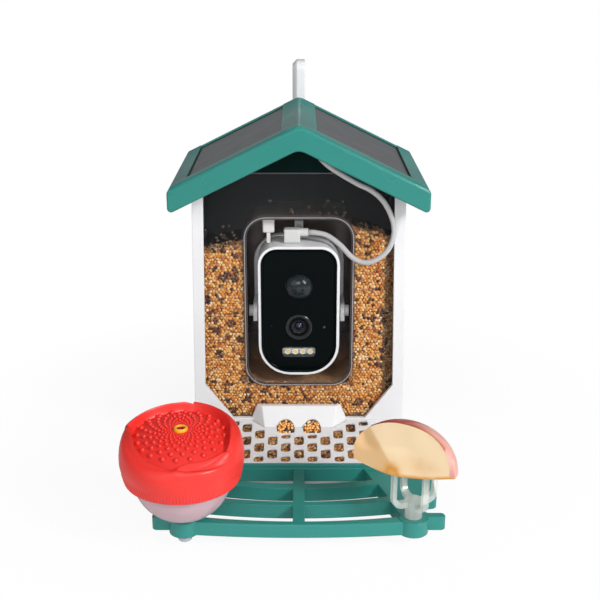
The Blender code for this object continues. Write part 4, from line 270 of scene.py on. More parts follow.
# %% Lines of the roof's border
ROOF_APEX, ROOF_FALL, RIDGE_ROUND = 0.2853, 0.4961, 0.0022
BORDER, BORDER_SINK, WALL_SINK = 0.002, 0.0003, 0.0006
LINES_X = np.array([(0.0993, 0.0), (0.0989, 0.6), (0.0979, 1.0), (0.0874, 1.0), (0.0866, 0.8), (0.014, 0.8),
                    (0.0132, 1.0), (0.006, 1.0), (0.0044, 1.0), (0.003, 1.0), (0.0015, 1.0)])
LINES_Y = np.array([(-0.0884, 0.0), (-0.088, 0.6), (-0.087, 1.0), (-0.0707, 1.0), (-0.0699, 0.8),
                    (0.0569, 0.8), (0.0577, 1.0), (0.062, 1.0), (0.063, 0.6), (0.0634, 0.0)])
PANEL_LINE = 4


def roof_top(x):
    """Height just above the roof's two planes and round ridge: apex - fall sqrt(x^2 + round^2) + 0.1 mm."""
    return ROOF_APEX - ROOF_FALL * np.sqrt(x**2 + RIDGE_ROUND**2) + 0.0001


border_x, edge_x = np.vstack([LINES_X * (-1, 1), [(0.0, 1.0)], LINES_X[::-1]]).T
border_y, edge_y = LINES_Y.T
bx, by = np.meshgrid(border_x, border_y, indexing="ij")
lift_share = np.minimum(edge_x[:, None], edge_y[None])
raised = np.stack([bx, by, roof_top(bx) - BORDER_SINK + BORDER * lift_share], -1).reshape(-1, 3)
print("border grid", bx.shape)

# %% Raised border of the roof, with a wall round each panel
quads = grid_faces(len(border_x), len(border_y))[:, [0, 3, 2, 1]]
starts = [line * len(border_y) + PANEL_LINE for line in (PANEL_LINE, len(border_x) - PANEL_LINE - 2)]
over_panels = np.flatnonzero(np.isin(quads[:, 0], starts))
walls, wall_faces = [], []
for corners in quads[over_panels]:
    foot = len(raised) + 4 * len(walls) + np.arange(4)
    walls.append(np.column_stack([raised[corners, :2], roof_top(raised[corners, 0]) - WALL_SINK]))
    wall_faces += [(corners[s], corners[(s + 1) % 4], foot[(s + 1) % 4], foot[s]) for s in range(4)]
border = add_mesh("roof_border", np.vstack([raised, *walls]),
                  np.delete(quads, over_panels, axis=0).tolist() + wall_faces, "roof", roof_green, sharp=35)

# %% [markdown]
# A dark joint runs along the foot of each wall, where the panel ends. It could be a groove. In the
# photograph it is only a thin dark line, so a flat black frame just above the roof is enough.

# %% Joints round the solar panels
joint_black = moulded("panel_joint", (0.006, 0.009, 0.009), 0.5)
outer_loop = np.array([(0.0866, -0.0699), (0.014, -0.0699), (0.014, 0.0569), (0.0866, 0.0569)])
inwards = np.array([(-0.0016, 0.0004), (0.0003, 0.0004), (0.0003, -0.0022), (-0.0016, -0.0022)])
for name, side in (("panel_joint_left", -1), ("panel_joint_right", 1)):
    rings = [np.column_stack([side * loop[:, 0], loop[:, 1], roof_top(loop[:, 0]) + 0.00018])
             for loop in (outer_loop, outer_loop + inwards)]
    joint = add_mesh(name, *loft(rings), "roof", joint_black, smooth=False)

# %% [markdown]
# The hook is a flat bar with a broad chamfer down its left side. It rises behind the ridge, bends
# back and ends in a short drop. A curve with a bevel profile could carry the bar, but a curve may
# twist it in a bend. Here every ring of the bar is placed by a formula, so the chamfer stays on
# its side.

# %% Path of the hook
HOOK_FRONT, HOOK_END, HOOK_TOP = 0.0709, 0.0966, 0.316
HOOK_FOOT, HOOK_TIP, HOOK_BEND = 0.2355, 0.3, 0.008
BAR = np.array([
    (-0.0017, 0.0), (0.0049, 0.0), (0.0053, 0.0004), (0.0053, 0.0058), (0.0049, 0.0062), (-0.0053, 0.0062),
    (-0.0057, 0.0058), (-0.0057, 0.0041), (-0.0055, 0.0037), (-0.0021, 0.0002)])


def hook_ring(y, z, lean):
    """The bar's outline at a point of the hook's outer line; the lean is 0 on the post, pi / 2 on top."""
    depth = BAR[:, 1]
    return np.stack([BAR[:, 0], y + depth * math.cos(lean), z - depth * math.sin(lean)], -1)


def bend_height(t):
    """Height of the outer line in a bend of the hook: top - radius (1 - sin t)."""
    return HOOK_TOP - HOOK_BEND * (1 - math.sin(t))


hook_rings = [hook_ring(HOOK_FRONT, HOOK_FOOT, 0.0)]
for t in np.linspace(0, np.pi / 2, 9):
    hook_rings.append(hook_ring(HOOK_FRONT + HOOK_BEND * (1 - math.cos(t)), bend_height(t), t))
for t in np.linspace(np.pi / 2, np.pi, 9):
    hook_rings.append(hook_ring(HOOK_END - HOOK_BEND * (1 + math.cos(t)), bend_height(t), t))
hook_rings.append(hook_ring(HOOK_END, HOOK_TIP, np.pi))
print("hook", len(hook_rings), "rings of", len(BAR), "points")


# %% Hook
def closed(rows, columns, flip=False):
    """Faces of a wrapped grid with a face on its first and its last loop; flip turns them all over."""
    ends = [list(range(columns))[::-1], list(range((rows - 1) * columns, rows * columns))]
    faces = grid_faces(rows, columns, True).tolist() + ends
    return [face[::-1] for face in faces] if flip else faces


hook_faces = closed(len(hook_rings), len(BAR))
hook = add_mesh("steel_hook", np.vstack(hook_rings), hook_faces, "hook", white, sharp=25)
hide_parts("hanging_hook")

# %% [markdown]
# A collar and a peg below the hook turn in the housing's socket. They could be stacked cylinders.
# One profile turned round the upright line gives their steps and grooves in a single piece.


# %% Peg of the hook
def revolve(profile, sides, centre):
    """Points and faces of (radius, height) pairs turned round the upright line through a centre."""
    rows = np.asarray(profile, float)
    angle = np.linspace(0, 2 * np.pi, sides, endpoint=False)
    x = centre[0] + rows[:, :1] * np.cos(angle)
    y = centre[1] + rows[:, :1] * np.sin(angle)
    z = centre[2] + np.repeat(rows[:, 1:], sides, axis=1)
    return np.stack([x, y, z], -1).reshape(-1, 3), grid_faces(len(rows), sides, True)


peg_points, peg_faces = revolve([
    (0.00002, 0.203), (0.0042, 0.203), (0.0042, 0.2042), (0.0034, 0.2043), (0.0034, 0.2058), (0.0042, 0.2059),
    (0.0042, 0.2324), (0.0058, 0.2324), (0.0062, 0.2328), (0.0062, 0.2352), (0.0058, 0.2356),
    (0.00002, 0.2356)], 40, (0.0, 0.074, 0.0))
peg = add_mesh("hook_peg", peg_points, peg_faces[:, ::-1], "hook", white, sharp=35)


# %% [markdown]
# The housing is white outside, and its faces inside are painted dark grey as painted shade, since
# little light reaches them. They could have a second material, but the solid is one shell of loose
# triangles. Its own normal tells the two apart: on a face inside it points back towards the middle
# of the body.


# %% Housing finish, with painted shade inside
def reckon(tree, operation, *values, vector=False, result="Value"):
    """A Math node's result from sockets or plain values, or a Vector Math node's."""
    node = add(tree, "ShaderNodeVectorMath" if vector else "ShaderNodeMath", operation=operation)
    for value, target in zip(values, node.inputs):
        wire(value, target)
    return node.outputs[result]


def colour_of(material):
    """The socket that feeds the shader's colour."""
    return shader_of(material).inputs["Base Color"].links[0].from_socket


housing_white = moulded("housing_plastic", (0.79, 0.79, 0.8), 0.42)
tree = housing_white.node_tree
spot = add(tree, "ShaderNodeTexCoord")
level = reckon(tree, "MULTIPLY", spot.outputs["Object"], (1.0, 1.0, 0.0), vector=True, result="Vector")
facing = reckon(tree, "DOT_PRODUCT", spot.outputs["Normal"], level, vector=True)
painted_inner_shade = reckon(tree, "LESS_THAN", facing, -0.01)
# Faces that point inwards get dark grey: painted shade, since little light reaches them.
tune(shader_of(housing_white), Base_Color=blended(painted_inner_shade, colour_of(housing_white), (0.092, 0.095, 0.1)))
paint(housing_white, "housing_shell")


# %% [markdown]
# The cable leaves the grommet under the gable, loops out in front of the window and goes back to
# the plug on the camera. It could be drawn as a Bezier curve. A smooth line through the CAD
# model's own points keeps the route and its length, and a round tube follows it.


# %% A smooth line and a tube
def through(points, per_span=12):
    """A smooth line through points, by the Catmull-Rom formula for each four points a, b, c and d.

    q(t) = 0.5 (2b + (c - a) t + (2a - 5b + 4c - d) t^2 + (3b - a - 3c + d) t^3)
    """
    p = np.asarray(points, float)
    p = np.vstack([2 * p[0] - p[1], p, 2 * p[-1] - p[-2]])
    t = np.linspace(0, 1, per_span, endpoint=False)[:, None]
    spans = []
    for a, b, c, d in zip(p, p[1:], p[2:], p[3:]):
        square, cube = 2 * a - 5 * b + 4 * c - d, 3 * b - a - 3 * c + d
        spans.append(0.5 * (2 * b + (c - a) * t + square * t**2 + cube * t**3))
    return np.vstack(spans + [p[-2:-1]])


def tube(points, radius, sides=14):
    """Points and faces of a round tube along a line: rings square to the line, turned without twist."""
    line = np.asarray(points, float)
    along = np.gradient(line, axis=0)
    along /= np.linalg.norm(along, axis=1)[:, None]
    across = np.cross(along[0], (0.3, 0.2, 1.0))
    angle = np.linspace(0, 2 * np.pi, sides, endpoint=False)[:, None]
    rings = []
    for centre, ahead in zip(line, along):
        across = across - ahead * across.dot(ahead)
        across /= np.linalg.norm(across)
        rings.append(centre + radius * (np.cos(angle) * across + np.sin(angle) * np.cross(ahead, across)))
    return np.concatenate(rings), closed(len(line), sides, flip=True)


print("a line through three points:", len(through([(0, 0, 0), (1, 0, 0), (1, 1, 0)])), "points")

# %% Cable
CABLE_RADIUS = 0.0021
route = through([
    (0.011, -0.0649, 0.265), (0.0142, -0.0745, 0.2622), (0.0195, -0.0758, 0.2565),
    (0.0268, -0.075, 0.2505), (0.0438, -0.0735, 0.24), (0.0555, -0.0725, 0.234),
    (0.0655, -0.071, 0.2248), (0.0722, -0.07, 0.212), (0.0745, -0.0695, 0.1995),
    (0.0705, -0.069, 0.186), (0.0612, -0.0675, 0.1768), (0.0517, -0.065, 0.1738),
    (0.0423, -0.0615, 0.1772), (0.0325, -0.0555, 0.186), (0.0225, -0.0495, 0.1918),
    (0.0121, -0.046, 0.1935),
], 10)
route = np.vstack([[(0.011, -0.0607, 0.265)], route, [(0.0079, -0.046, 0.1935)]])
cable_jacket = moulded("cable_jacket", (0.52, 0.51, 0.51), 0.45)
cable = add_mesh("charging_cable", *tube(route, CABLE_RADIUS), None, cable_jacket)
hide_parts("solar_cable")
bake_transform(cable)


# %% [markdown]
# The window is a clear pane that is open where the camera's deep pocket is moulded in it. The
# opening could be cut with a Boolean. Rays from the middle of the mouth out to the pane's edge
# give both outlines the same count of points, so one loft joins them without a cut.


# %% Outlines that face the front
def round_rect(half, low, high, radius, per_corner=12, foot=None):
    """A rounded rectangle in x and z, as an (n, 2) array, starting at the lower right corner."""
    turn = np.linspace(0, np.pi / 2, per_corner)
    foot = foot or radius
    corners = ((half - foot, low + foot, foot, -np.pi / 2), (half - radius, high - radius, radius, 0),
               (-half + radius, high - radius, radius, np.pi / 2), (-half + foot, low + foot, foot, np.pi))
    loops = [np.stack([cx + r * np.cos(start + turn), cz + r * np.sin(start + turn)], -1)
             for cx, cz, r, start in corners]
    return np.vstack(loops)


def sleeve(*stops):
    """Points and faces of a surface through outlines in x and z, each given with its depth."""
    return loft([np.insert(outline, 1, depth, axis=1) for outline, depth in stops])


def out_to(outline, centre, rays):
    """Where rays d from a centre meet a closed outline: on a side e from a, centre + s d = a + t e."""
    e = np.roll(outline, -1, axis=0) - outline
    w = outline - centre
    det = e[:, 0] * rays[:, 1:] - rays[:, :1] * e[:, 1]
    det = np.where(np.abs(det) < 1e-12, np.nan, det)
    s = (e[:, 0] * w[:, 1] - w[:, 0] * e[:, 1]) / det
    t = (rays[:, :1] * w[:, 1] - rays[:, 1:] * w[:, 0]) / det
    meets = (s > 0) & (t >= -1e-9) & (t <= 1 + 1e-9)
    return centre + np.where(meets, s, 9.0).min(axis=1)[:, None] * rays


mouth = round_rect(half=0.0435, low=0.064, high=0.2075, radius=0.017)
print("mouth of the pocket:", len(mouth), "points")

# %% Window pane
PANE_FRONT, PANE_BACK = -0.055, -0.0531
middle = np.array((0.0, 0.13))
spokes = mouth - middle
pane_line = np.array([(-0.0841, 0.0326), (0.0841, 0.0326), (0.0812, 0.2395), (0.0742, 0.244),
                      (-0.0742, 0.244), (-0.0812, 0.2395)])
pane_edge = out_to(pane_line, middle, spokes)
clear_pane = moulded("clear_pane", (0.07, 0.073, 0.077), 0.05, 300.0, 0.1, 0.08, 0.000002)
tune(shader_of(clear_pane), Specular_IOR_Level=0.2)
pane = add_mesh("window_pane", *sleeve(
    (mouth, PANE_FRONT), (pane_edge, PANE_FRONT), (pane_edge, PANE_BACK), (mouth, PANE_BACK),
    (mouth, PANE_FRONT)), "housing", clear_pane, sharp=30)
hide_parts("window")


# %% [markdown]
# The pocket is a smoked, half clear tub. Seed shines through its foot, so its colour changes there
# with height. The seed behind it could be left to show by itself, but through smoked plastic it
# would come out almost black, so the finish itself is speckled with seed colours at the foot.


# %% Pocket of the camera
def fade_along(material, axis, start, end):
    """An amount from 0 to 1 between two places on an axis: (place - start) / (end - start)."""
    tree = material.node_tree
    split = add(tree, "ShaderNodeSeparateXYZ", Vector=place(tree))
    return between(split.outputs[axis], 0.0, 1.0, start, end)


POCKET_BACK, POCKET_OUTER_BACK = -0.0078, -0.006
smoke = moulded("pocket_plastic", (0.17, 0.135, 0.13), 0.14, 300.0, 0.4, 0.5, 0.000002)
behind_seed = blended(speckle(smoke.node_tree, 330.0, 1.0), (0.12, 0.055, 0.03), (0.95, 0.55, 0.28))
above_foot = fade_along(smoke, "Z", 0.064, 0.084)
tune(shader_of(smoke), Base_Color=blended(above_foot, behind_seed, colour_of(smoke)))
outside = round_rect(0.0453, 0.0622, 0.2093, 0.0188)
centre_loop = np.zeros_like(mouth) + middle
tub = add_mesh("camera_pocket", *sleeve(
    (outside, PANE_BACK), (mouth, -0.0545), (mouth, POCKET_BACK), (middle + 0.9 * spokes, POCKET_BACK),
    (centre_loop, POCKET_BACK)), "housing", smoke, sharp=40)
tub_outer = add_mesh("camera_pocket_back", *sleeve(
    (centre_loop, POCKET_OUTER_BACK), (outside, POCKET_OUTER_BACK), (outside, PANE_BACK)),
    "housing", smoke, sharp=40)


# %% [markdown]
# The pocket's mouth has a rounded rim painted bright grey as a painted highlight, with a darker lip
# inside it, and the pane's top edge is a thin tube painted light grey as a painted highlight. A
# Bevel modifier could round the mouth. Thin beads along the same outline take their own colour,
# which the photograph shows.


# %% Rim and lip of the pocket, and the pane's top edge, with painted highlights
def bead(name, half, low, high, radius, y, size, depth, colour):
    """A bead along a rounded rectangle: out by size cos a and back by depth sin a, over a full turn."""
    stops = []
    for a in np.linspace(0, 2 * np.pi, 9):
        out = size * np.cos(a)
        stops.append((round_rect(half + out, low - out, high + out, radius + out), y + depth * np.sin(a)))
    return add_mesh(name, *sleeve(*stops), "housing", moulded(name, colour, 0.2))


# The rim's bright grey is a painted highlight.
rim_highlight = bead("pocket_rim_highlight", 0.0437, 0.0638, 0.2077, 0.0172, -0.0552, 0.0004, 0.0004, (0.34, 0.32, 0.33))
lip = bead("pocket_lip", 0.0426, 0.0649, 0.2066, 0.0161, -0.0542, 0.0007, 0.0006, (0.06, 0.054, 0.056))
# The pane's top edge is painted light grey: a painted highlight.
edge_line = [(x, -0.0553, 0.2436) for x in np.linspace(-0.0735, 0.0735, 9)]
top_edge = add_mesh("pane_top_edge", *tube(edge_line, 0.0004, 8), "housing",
                    moulded("pane_edge_highlight", (0.15, 0.16, 0.165), 0.15))

# %% [markdown]
# Seed is mostly golden millet, with cream, red and dark grains. A picture of seed would look flat
# at this size. Real grains lie behind the pane, in the slots and in the outlets, each with a tone
# that a colour ramp turns into a colour. Under them lies a fill whose surface is broken up into
# cells with the same colours.

# %% Seed finish, with painted shade by each grain's amount
SEED_TONES = ((0.0, (0.034, 0.014, 0.016)), (0.08, (0.085, 0.034, 0.03)), (0.16, (0.36, 0.085, 0.022)),
              (0.36, (0.72, 0.245, 0.04)), (0.6, (1.0, 0.48, 0.11)), (0.82, (1.0, 0.66, 0.27)),
              (1.0, (1.0, 0.9, 0.68)))


def seed_ramp(value):
    """Seed colours by tone, from 0 for dark to 1 for cream."""
    ramp = add(value.id_data, "ShaderNodeValToRGB", Fac=value)
    stops = ramp.color_ramp.elements
    while len(stops) < len(SEED_TONES):
        stops.new(0.5)
    for stop, (where, colour) in zip(stops, SEED_TONES):
        stop.position = where
        stop.color = (*colour, 1.0)
    return ramp.outputs["Color"]


def painted(material, label):
    """The value that a mesh's attribute has at each point."""
    return add(material.node_tree, "ShaderNodeAttribute", attribute_name=label).outputs["Fac"]


grain_paint = finish("seed_grains", (0.6, 0.3, 0.1), 0.28)
grain_colour = seed_ramp(painted(grain_paint, "tone"))
# Each grain is darkened towards near black by its amount of painted shade.
tune(shader_of(grain_paint),
     Base_Color=blended(painted(grain_paint, "painted_shade_amount"), grain_colour, (0.016, 0.01, 0.008)))

# %% Fill finish: cells in seed colours, with painted shade between them and away from the pane, under the roof
fill_paint = finish("seed_fill", (0.3, 0.15, 0.05), 0.5)
tree = fill_paint.node_tree
cells = add(tree, "ShaderNodeTexVoronoi", Scale=520.0, Vector=place(tree))
cell_tone = add(tree, "ShaderNodeSeparateColor", Color=cells.outputs["Color"]).outputs[0]
# Painted shade: darker towards the cells' edges, between the grains.
shade_between_cells = between(cells.outputs["Distance"], 0.15, 1.1)
fill_colour = blended(shade_between_cells, seed_ramp(cell_tone), (0.17, 0.06, 0.022))
# Painted shade: darker away from the pane, under the roof.
shade_under_roof = fade_along(fill_paint, "Y", -0.05, -0.038)
dents = add(tree, "ShaderNodeBump", Strength=0.9, Distance=0.0012, invert=True)
tune(dents, Height=cells.outputs["Distance"])
tune(shader_of(fill_paint), Base_Color=blended(shade_under_roof, fill_colour, (0.016, 0.009, 0.006)),
     Normal=dents.outputs["Normal"])
paint(fill_paint, "tray_seed")

# %% [markdown]
# The heap of seed stands behind the pane up to an uneven line. It could be a block with a
# Displace modifier. Only its front and its top are ever seen, so it is two grids, which leave out
# the room that the camera's pocket takes.

# %% Seed heap in the hopper
ACROSS, BACKWARDS, UPWARDS = 90, 40, 70
HEAP_FRONT, HEAP_FOOT, GRAIN_FRONT = -0.0514, 0.0345, -0.0515
LINE_X = (-0.084, -0.056, -0.046, -0.025, 0.0, 0.025, 0.032, 0.051, 0.076, 0.084)
LINE_Z = (0.1845, 0.186, 0.189, 0.199, 0.205, 0.2075, 0.207, 0.199, 0.1905, 0.188)


def heap_top(x, y):
    """Top of the heap: its front line, uneven, and falling away behind the pane."""
    wave = 0.0012 * np.sin(210 * x + 1.0) + 0.0008 * np.sin(530 * x)
    fall = 0.02 * (1 - np.exp(-np.maximum(y - GRAIN_FRONT, 0) / 0.03))
    return np.interp(x, LINE_X, LINE_Z) + wave - fall


def beside_pocket(points, faces):
    """The faces whose middle lies outside the room of the camera's pocket."""
    x, y, z = points[faces].mean(axis=1).T
    return faces[(np.abs(x) > 0.0425) | (y > -0.008) | (z < 0.065) | (z > 0.208)]


heap_x = np.linspace(-0.0838, 0.0838, ACROSS)
gx, gy = np.meshgrid(heap_x, np.linspace(HEAP_FRONT, 0.055, BACKWARDS), indexing="ij")
top = np.stack([gx, gy, heap_top(gx, gy)], -1).reshape(-1, 3)
gx, share = np.meshgrid(heap_x, np.linspace(0, 1, UPWARDS), indexing="ij")
rise = HEAP_FOOT + share * (heap_top(gx, GRAIN_FRONT) - HEAP_FOOT)
front = np.stack([gx, np.full_like(gx, HEAP_FRONT), rise], -1).reshape(-1, 3)
top_faces = beside_pocket(top, grid_faces(ACROSS, BACKWARDS)[:, ::-1])
front_faces = beside_pocket(front, grid_faces(ACROSS, UPWARDS)) + len(top)
heap = add_mesh("seed_heap", np.vstack([top, front]), np.vstack([top_faces, front_faces]), "housing",
                fill_paint)
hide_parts("hopper_seed")


# %% [markdown]
# One grain is a small ellipsoid with few faces. Thousands of them could be instances of one
# object. Here they are one mesh, worked out as one array, so that every grain has its own turn
# and carries its own tone and amount of painted shade as attributes.


# %% One mesh of many like shapes
def add_swarm(name, points, triangles, body, material):
    """A smooth mesh of many like shapes: points is (shapes, points, 3), triangles is one shape's."""
    count, size = points.shape[:2]
    corners = (triangles + (np.arange(count) * size)[:, None, None]).astype(np.int32).ravel()
    mesh = bpy.data.meshes.new(name)
    mesh.vertices.add(count * size)
    mesh.vertices.foreach_set("co", points.astype(np.float32).ravel())
    mesh.loops.add(len(corners))
    mesh.loops.foreach_set("vertex_index", corners)
    mesh.polygons.add(len(corners) // 3)
    mesh.polygons.foreach_set("loop_start", np.arange(0, len(corners), 3, dtype=np.int32))
    mesh.update(calc_edges=True)
    mesh.shade_smooth()
    return new_piece(name, mesh, body, material)


# %% A ball with few faces
def ball_of(rings, sides):
    """Points and triangles of a ball of radius 1: (sin f cos t, sin f sin t, cos f) and two poles."""
    f, t = np.meshgrid(np.linspace(0, np.pi, rings + 1)[1:-1],
                       np.linspace(0, 2 * np.pi, sides, endpoint=False), indexing="ij")
    belts = np.stack([np.sin(f) * np.cos(t), np.sin(f) * np.sin(t), np.cos(f)], -1).reshape(-1, 3)
    quads = grid_faces(rings - 1, sides, True) + 1
    last = len(belts) + 1
    s = np.arange(sides)
    after = (s + 1) % sides
    fans = [np.stack([0 * s, 1 + s, 1 + after], -1),
            np.stack([0 * s + last, last - sides + after, last - sides + s], -1)]
    triangles = np.vstack([*fans, quads[:, [0, 3, 2]], quads[:, [0, 2, 1]]])
    return np.vstack([(0, 0, 1), belts, (0, 0, -1)]), triangles


print("a ball of 4 rings and 6 sides has", len(ball_of(4, 6)[1]), "triangles")


# %% Grains
GRAIN_SHAPE = np.array((1.0, 0.94, 0.88))


def grains(name, centres, sizes, tones, shade_amounts, rings=4, sides=6):
    """Seeds: one small ellipsoid for each centre, turned by a random unit quaternion (w, x, y, z)."""
    ball, triangles = ball_of(rings, sides)
    spin = rng.normal(size=(len(centres), 4))
    w, x, y, z = (spin / np.linalg.norm(spin, axis=1)[:, None]).T
    turn = np.stack([
        np.stack([1 - 2 * (y * y + z * z), 2 * (x * y - z * w), 2 * (x * z + y * w)], -1),
        np.stack([2 * (x * y + z * w), 1 - 2 * (x * x + z * z), 2 * (y * z - x * w)], -1),
        np.stack([2 * (x * z - y * w), 2 * (y * z + x * w), 1 - 2 * (x * x + y * y)], -1),
    ], 1)
    stretch = sizes[:, None] * GRAIN_SHAPE
    points = np.einsum("nij,nkj->nki", turn, ball[None] * stretch[:, None]) + centres[:, None]
    thing = add_swarm(name, points, triangles, "housing", grain_paint)
    # Each grain keeps its tone and its amount of painted shade as attributes.
    for label, values in (("tone", tones), ("painted_shade_amount", shade_amounts)):
        kept = thing.data.attributes.new(label, "FLOAT", "POINT")
        kept.data.foreach_set("value", np.repeat(values, len(ball)).astype(np.float32))
    return thing


# %% [markdown]
# Poured grains lie close together, but not in rows. A physics run could drop them. A lattice of
# hexagons with a little scatter looks the same through a pane and needs no run. Dark seeds come in
# small clusters, and grains near the heap's top and the window's right edge get painted shade.


# %% Where grains lie, and their tones
REDDEST, DARKS = 0.16, 0.13
DARKS_PER_CLUSTER = 3.2
CLOSE_ROWS = 0.87


def tones_of(centres, dark_share=0.16):
    """Seed tones: mostly gold and cream, with dark seeds in small clusters."""
    count = len(centres)
    tones = rng.beta(2.0, 1.9, count) * (1 - REDDEST) + REDDEST
    hubs = centres[rng.random(count) < dark_share / DARKS_PER_CLUSTER]
    near = np.zeros(count, bool)
    for hub in hubs:
        near |= np.linalg.norm(centres - hub, axis=1) < rng.uniform(0.0012, 0.0036)
    dark = near & (rng.random(count) < 0.72)
    return np.where(dark, rng.random(count) * DARKS, tones)


def lattice(width, height, step):
    """Jittered hexagonal places from the middle: rows 0.87 steps apart, each second one half a step on."""
    rows = np.arange(-height / 2, height / 2, step * CLOSE_ROWS)
    columns = np.arange(-width / 2, width / 2, step)
    u, v = np.meshgrid(columns, rows)
    u = u + np.where(np.arange(len(rows)) % 2, step / 2, 0)[:, None]
    spots = np.stack([u.ravel(), v.ravel()], -1)
    return spots + rng.normal(scale=step * 0.13, size=spots.shape)


def eased(t):
    """Smooth step: 3 t^2 - 2 t^3 on 0..1."""
    t = np.clip(t, 0, 1)
    return t * t * (3 - 2 * t)


print("a quarter of the way, a smooth step has risen by", eased(0.25))


# %% Grains behind the pane
GRAIN_STEP, GRAIN_RADIUS, LAYER = 0.00262, 0.00136, 0.0005
spots = lattice(0.167, 0.196, GRAIN_STEP)
gx, gz = spots[:, 0], spots[:, 1] + 0.131
over = gz - heap_top(gx, GRAIN_FRONT)
inside = (over < 0) | (rng.random(len(gz)) < 0.55 * np.exp(-np.maximum(over, 0) / 0.0042))
inside &= gz > 0.0352
half = np.abs(gx)
# Inside the housing, and beside, below or above the pocket.
inside &= (half < 0.0833) & ((half > 0.0453) | (gz < 0.0624) | (gz > 0.209))
gx, gz, over = gx[inside], gz[inside], over[inside]
centres = np.stack([gx, -0.0516 + np.abs(rng.normal(scale=LAYER, size=len(gx))), gz], -1)
# Painted shade under the heap's top line, deeper on the left than on the right, and at the window's right
# edge.
shade_amounts = np.clip(0.92 * eased(1 + over / np.interp(gx, (-0.01, 0.03), (0.01, 0.0035))), 0, 0.92)
shade_amounts = np.maximum(shade_amounts, 0.78 * eased((gx - 0.069) / 0.0012))
hopper_grains = grains("hopper_grains", centres, rng.normal(GRAIN_RADIUS, 0.00009, len(centres)),
                       tones_of(centres), shade_amounts, 5, 8)

# %% [markdown]
# The tray's deck slopes down to the front and has columns of slots, each second column set off by
# half a step. One sheet of grains could lie under the whole deck, but most of it would be hidden.
# The slots' places are worked out again as in the CAD model, and each slot gets its own small
# lattice of grains, a little below the deck.

# %% Slots of the deck
DECK_TILT = math.radians(8.6)
DECK_FRONT, DECK_HEIGHT, DECK_LENGTH = -0.059, 0.0337, 0.0592
SLOT_STEP, ROW_STEP, SLOT_HALF = 0.01075, 0.0183, 0.0065
slots = []
for column in range(-7, 8):
    side = column * SLOT_STEP
    reach = 0.0119 if column % 2 == 0 else 0.0119 - ROW_STEP / 2
    while reach - SLOT_HALF / 2 < DECK_LENGTH:
        low, high = max(reach - SLOT_HALF, 0.0018), min(reach + SLOT_HALF, DECK_LENGTH)
        if abs(side) < 0.0203:
            low = max(low, 0.0213)
        beside_hood = low > 0.013 or abs(side) - 0.0039 > 0.041 - 1.125 * low + 0.0018
        if high - low > 0.0043 and beside_hood:
            slots.append((side, low, high))
        reach += ROW_STEP
print(len(slots), "slots")

# %% Grains in the slots
slot_spots = []
for side, low, high in slots:
    u = lattice(0.0074, high - low - 0.001, 0.00205)
    u = u[(np.abs(u[:, 0]) < 0.0031) & (np.abs(u[:, 1]) < (high - low) / 2 - 0.0006)]
    slot_spots.append(np.stack([side + u[:, 0], -(low + high) / 2 + u[:, 1]], -1))
across, along = np.vstack(slot_spots).T
depth = -0.0026 + rng.normal(scale=LAYER, size=len(along))
centres = np.stack([across, DECK_FRONT + along * np.cos(DECK_TILT) - depth * np.sin(DECK_TILT),
                    DECK_HEIGHT + along * np.sin(DECK_TILT) + depth * np.cos(DECK_TILT)], -1)
# The grains in the slots get random painted shade, darker on the whole, for the shade below the deck.
tray_grains = grains("tray_grains", centres, rng.normal(0.00115, 0.00008, len(centres)),
                     tones_of(centres, 0.3), np.clip(rng.normal(0.58, 0.25, len(centres)), 0, 0.9))

# %% [markdown]
# Seed runs out of two arched outlets in the hood. A single block could fill each arch. Three thin
# layers of grains one behind the other look like a pile, and the two layers behind get painted shade.

# %% Grains in the outlets
HOOD_TILT, HOOD_REACH = math.radians(28.0), 0.0195
ARCH_HALF, ARCH_SPRING = 0.0066, 0.0066
outlet_spots = []
for side in (-0.011, 0.011):
    spots = lattice(0.0142, 0.015, 0.0022) + (0, 0.007)
    for layer in (-0.0012, -0.0027, -0.0041):
        u = spots + rng.normal(scale=0.0003, size=spots.shape)
        good = (np.abs(u[:, 0]) < ARCH_HALF) & (u[:, 1] > 0.001)
        good &= (u[:, 1] < ARCH_SPRING) | (np.hypot(u[:, 0], u[:, 1] - ARCH_SPRING) < 0.0065)
        u = u[good]
        outlet_spots.append(np.stack([side + u[:, 0], u[:, 1], np.full(len(u), layer)], -1))
across, up, layer = np.vstack(outlet_spots).T
y = DECK_FRONT - HOOD_REACH + up * math.cos(HOOD_TILT) - layer * math.sin(HOOD_TILT)
foot = DECK_HEIGHT - math.tan(DECK_TILT) * HOOD_REACH
centres = np.stack([across, y, foot + up * math.sin(HOOD_TILT) + layer * math.cos(HOOD_TILT)], -1)
# The two layers behind are darkened: painted shade inside the arch.
outlet_grains = grains("outlet_grains", centres, rng.normal(0.00118, 0.00008, len(centres)),
                       tones_of(centres), np.where(layer < -0.002, 0.45, 0.0))

# %% [markdown]
# The nectar feeder's lid is a flower: a field of bumps that grow towards the outside, four petals
# that overlap in a spiral, a smooth band and a ribbed skirt. Its face leans a little to the front.
# It could be sculpted. Here its height is a function of radius and angle, because a formula keeps
# the petals' walls crisp and closes the seam by itself.

# %% Height of the lid's face
LID_X, LID_Y = -0.0829, -0.1945
LID_FACE, LID_SLOPE, BROW = 0.0909, 0.122, 0.0385
PETALS = ((-1.66, 1.1), (-0.56, 1.96), (1.4, 1.48), (2.88, 1.74))


def lid_dome(r, angle):
    """Height of the flower's face without its petals: a dome that leans to the front."""
    return LID_FACE + LID_SLOPE * r * np.sin(angle) - 0.0052 * (r / 0.03) ** 2


def towards_back(angle):
    """A share that is 0 at the very front of the lid and has reached 1 on its back half."""
    return eased((np.sin(angle) + 0.96) / 0.8)


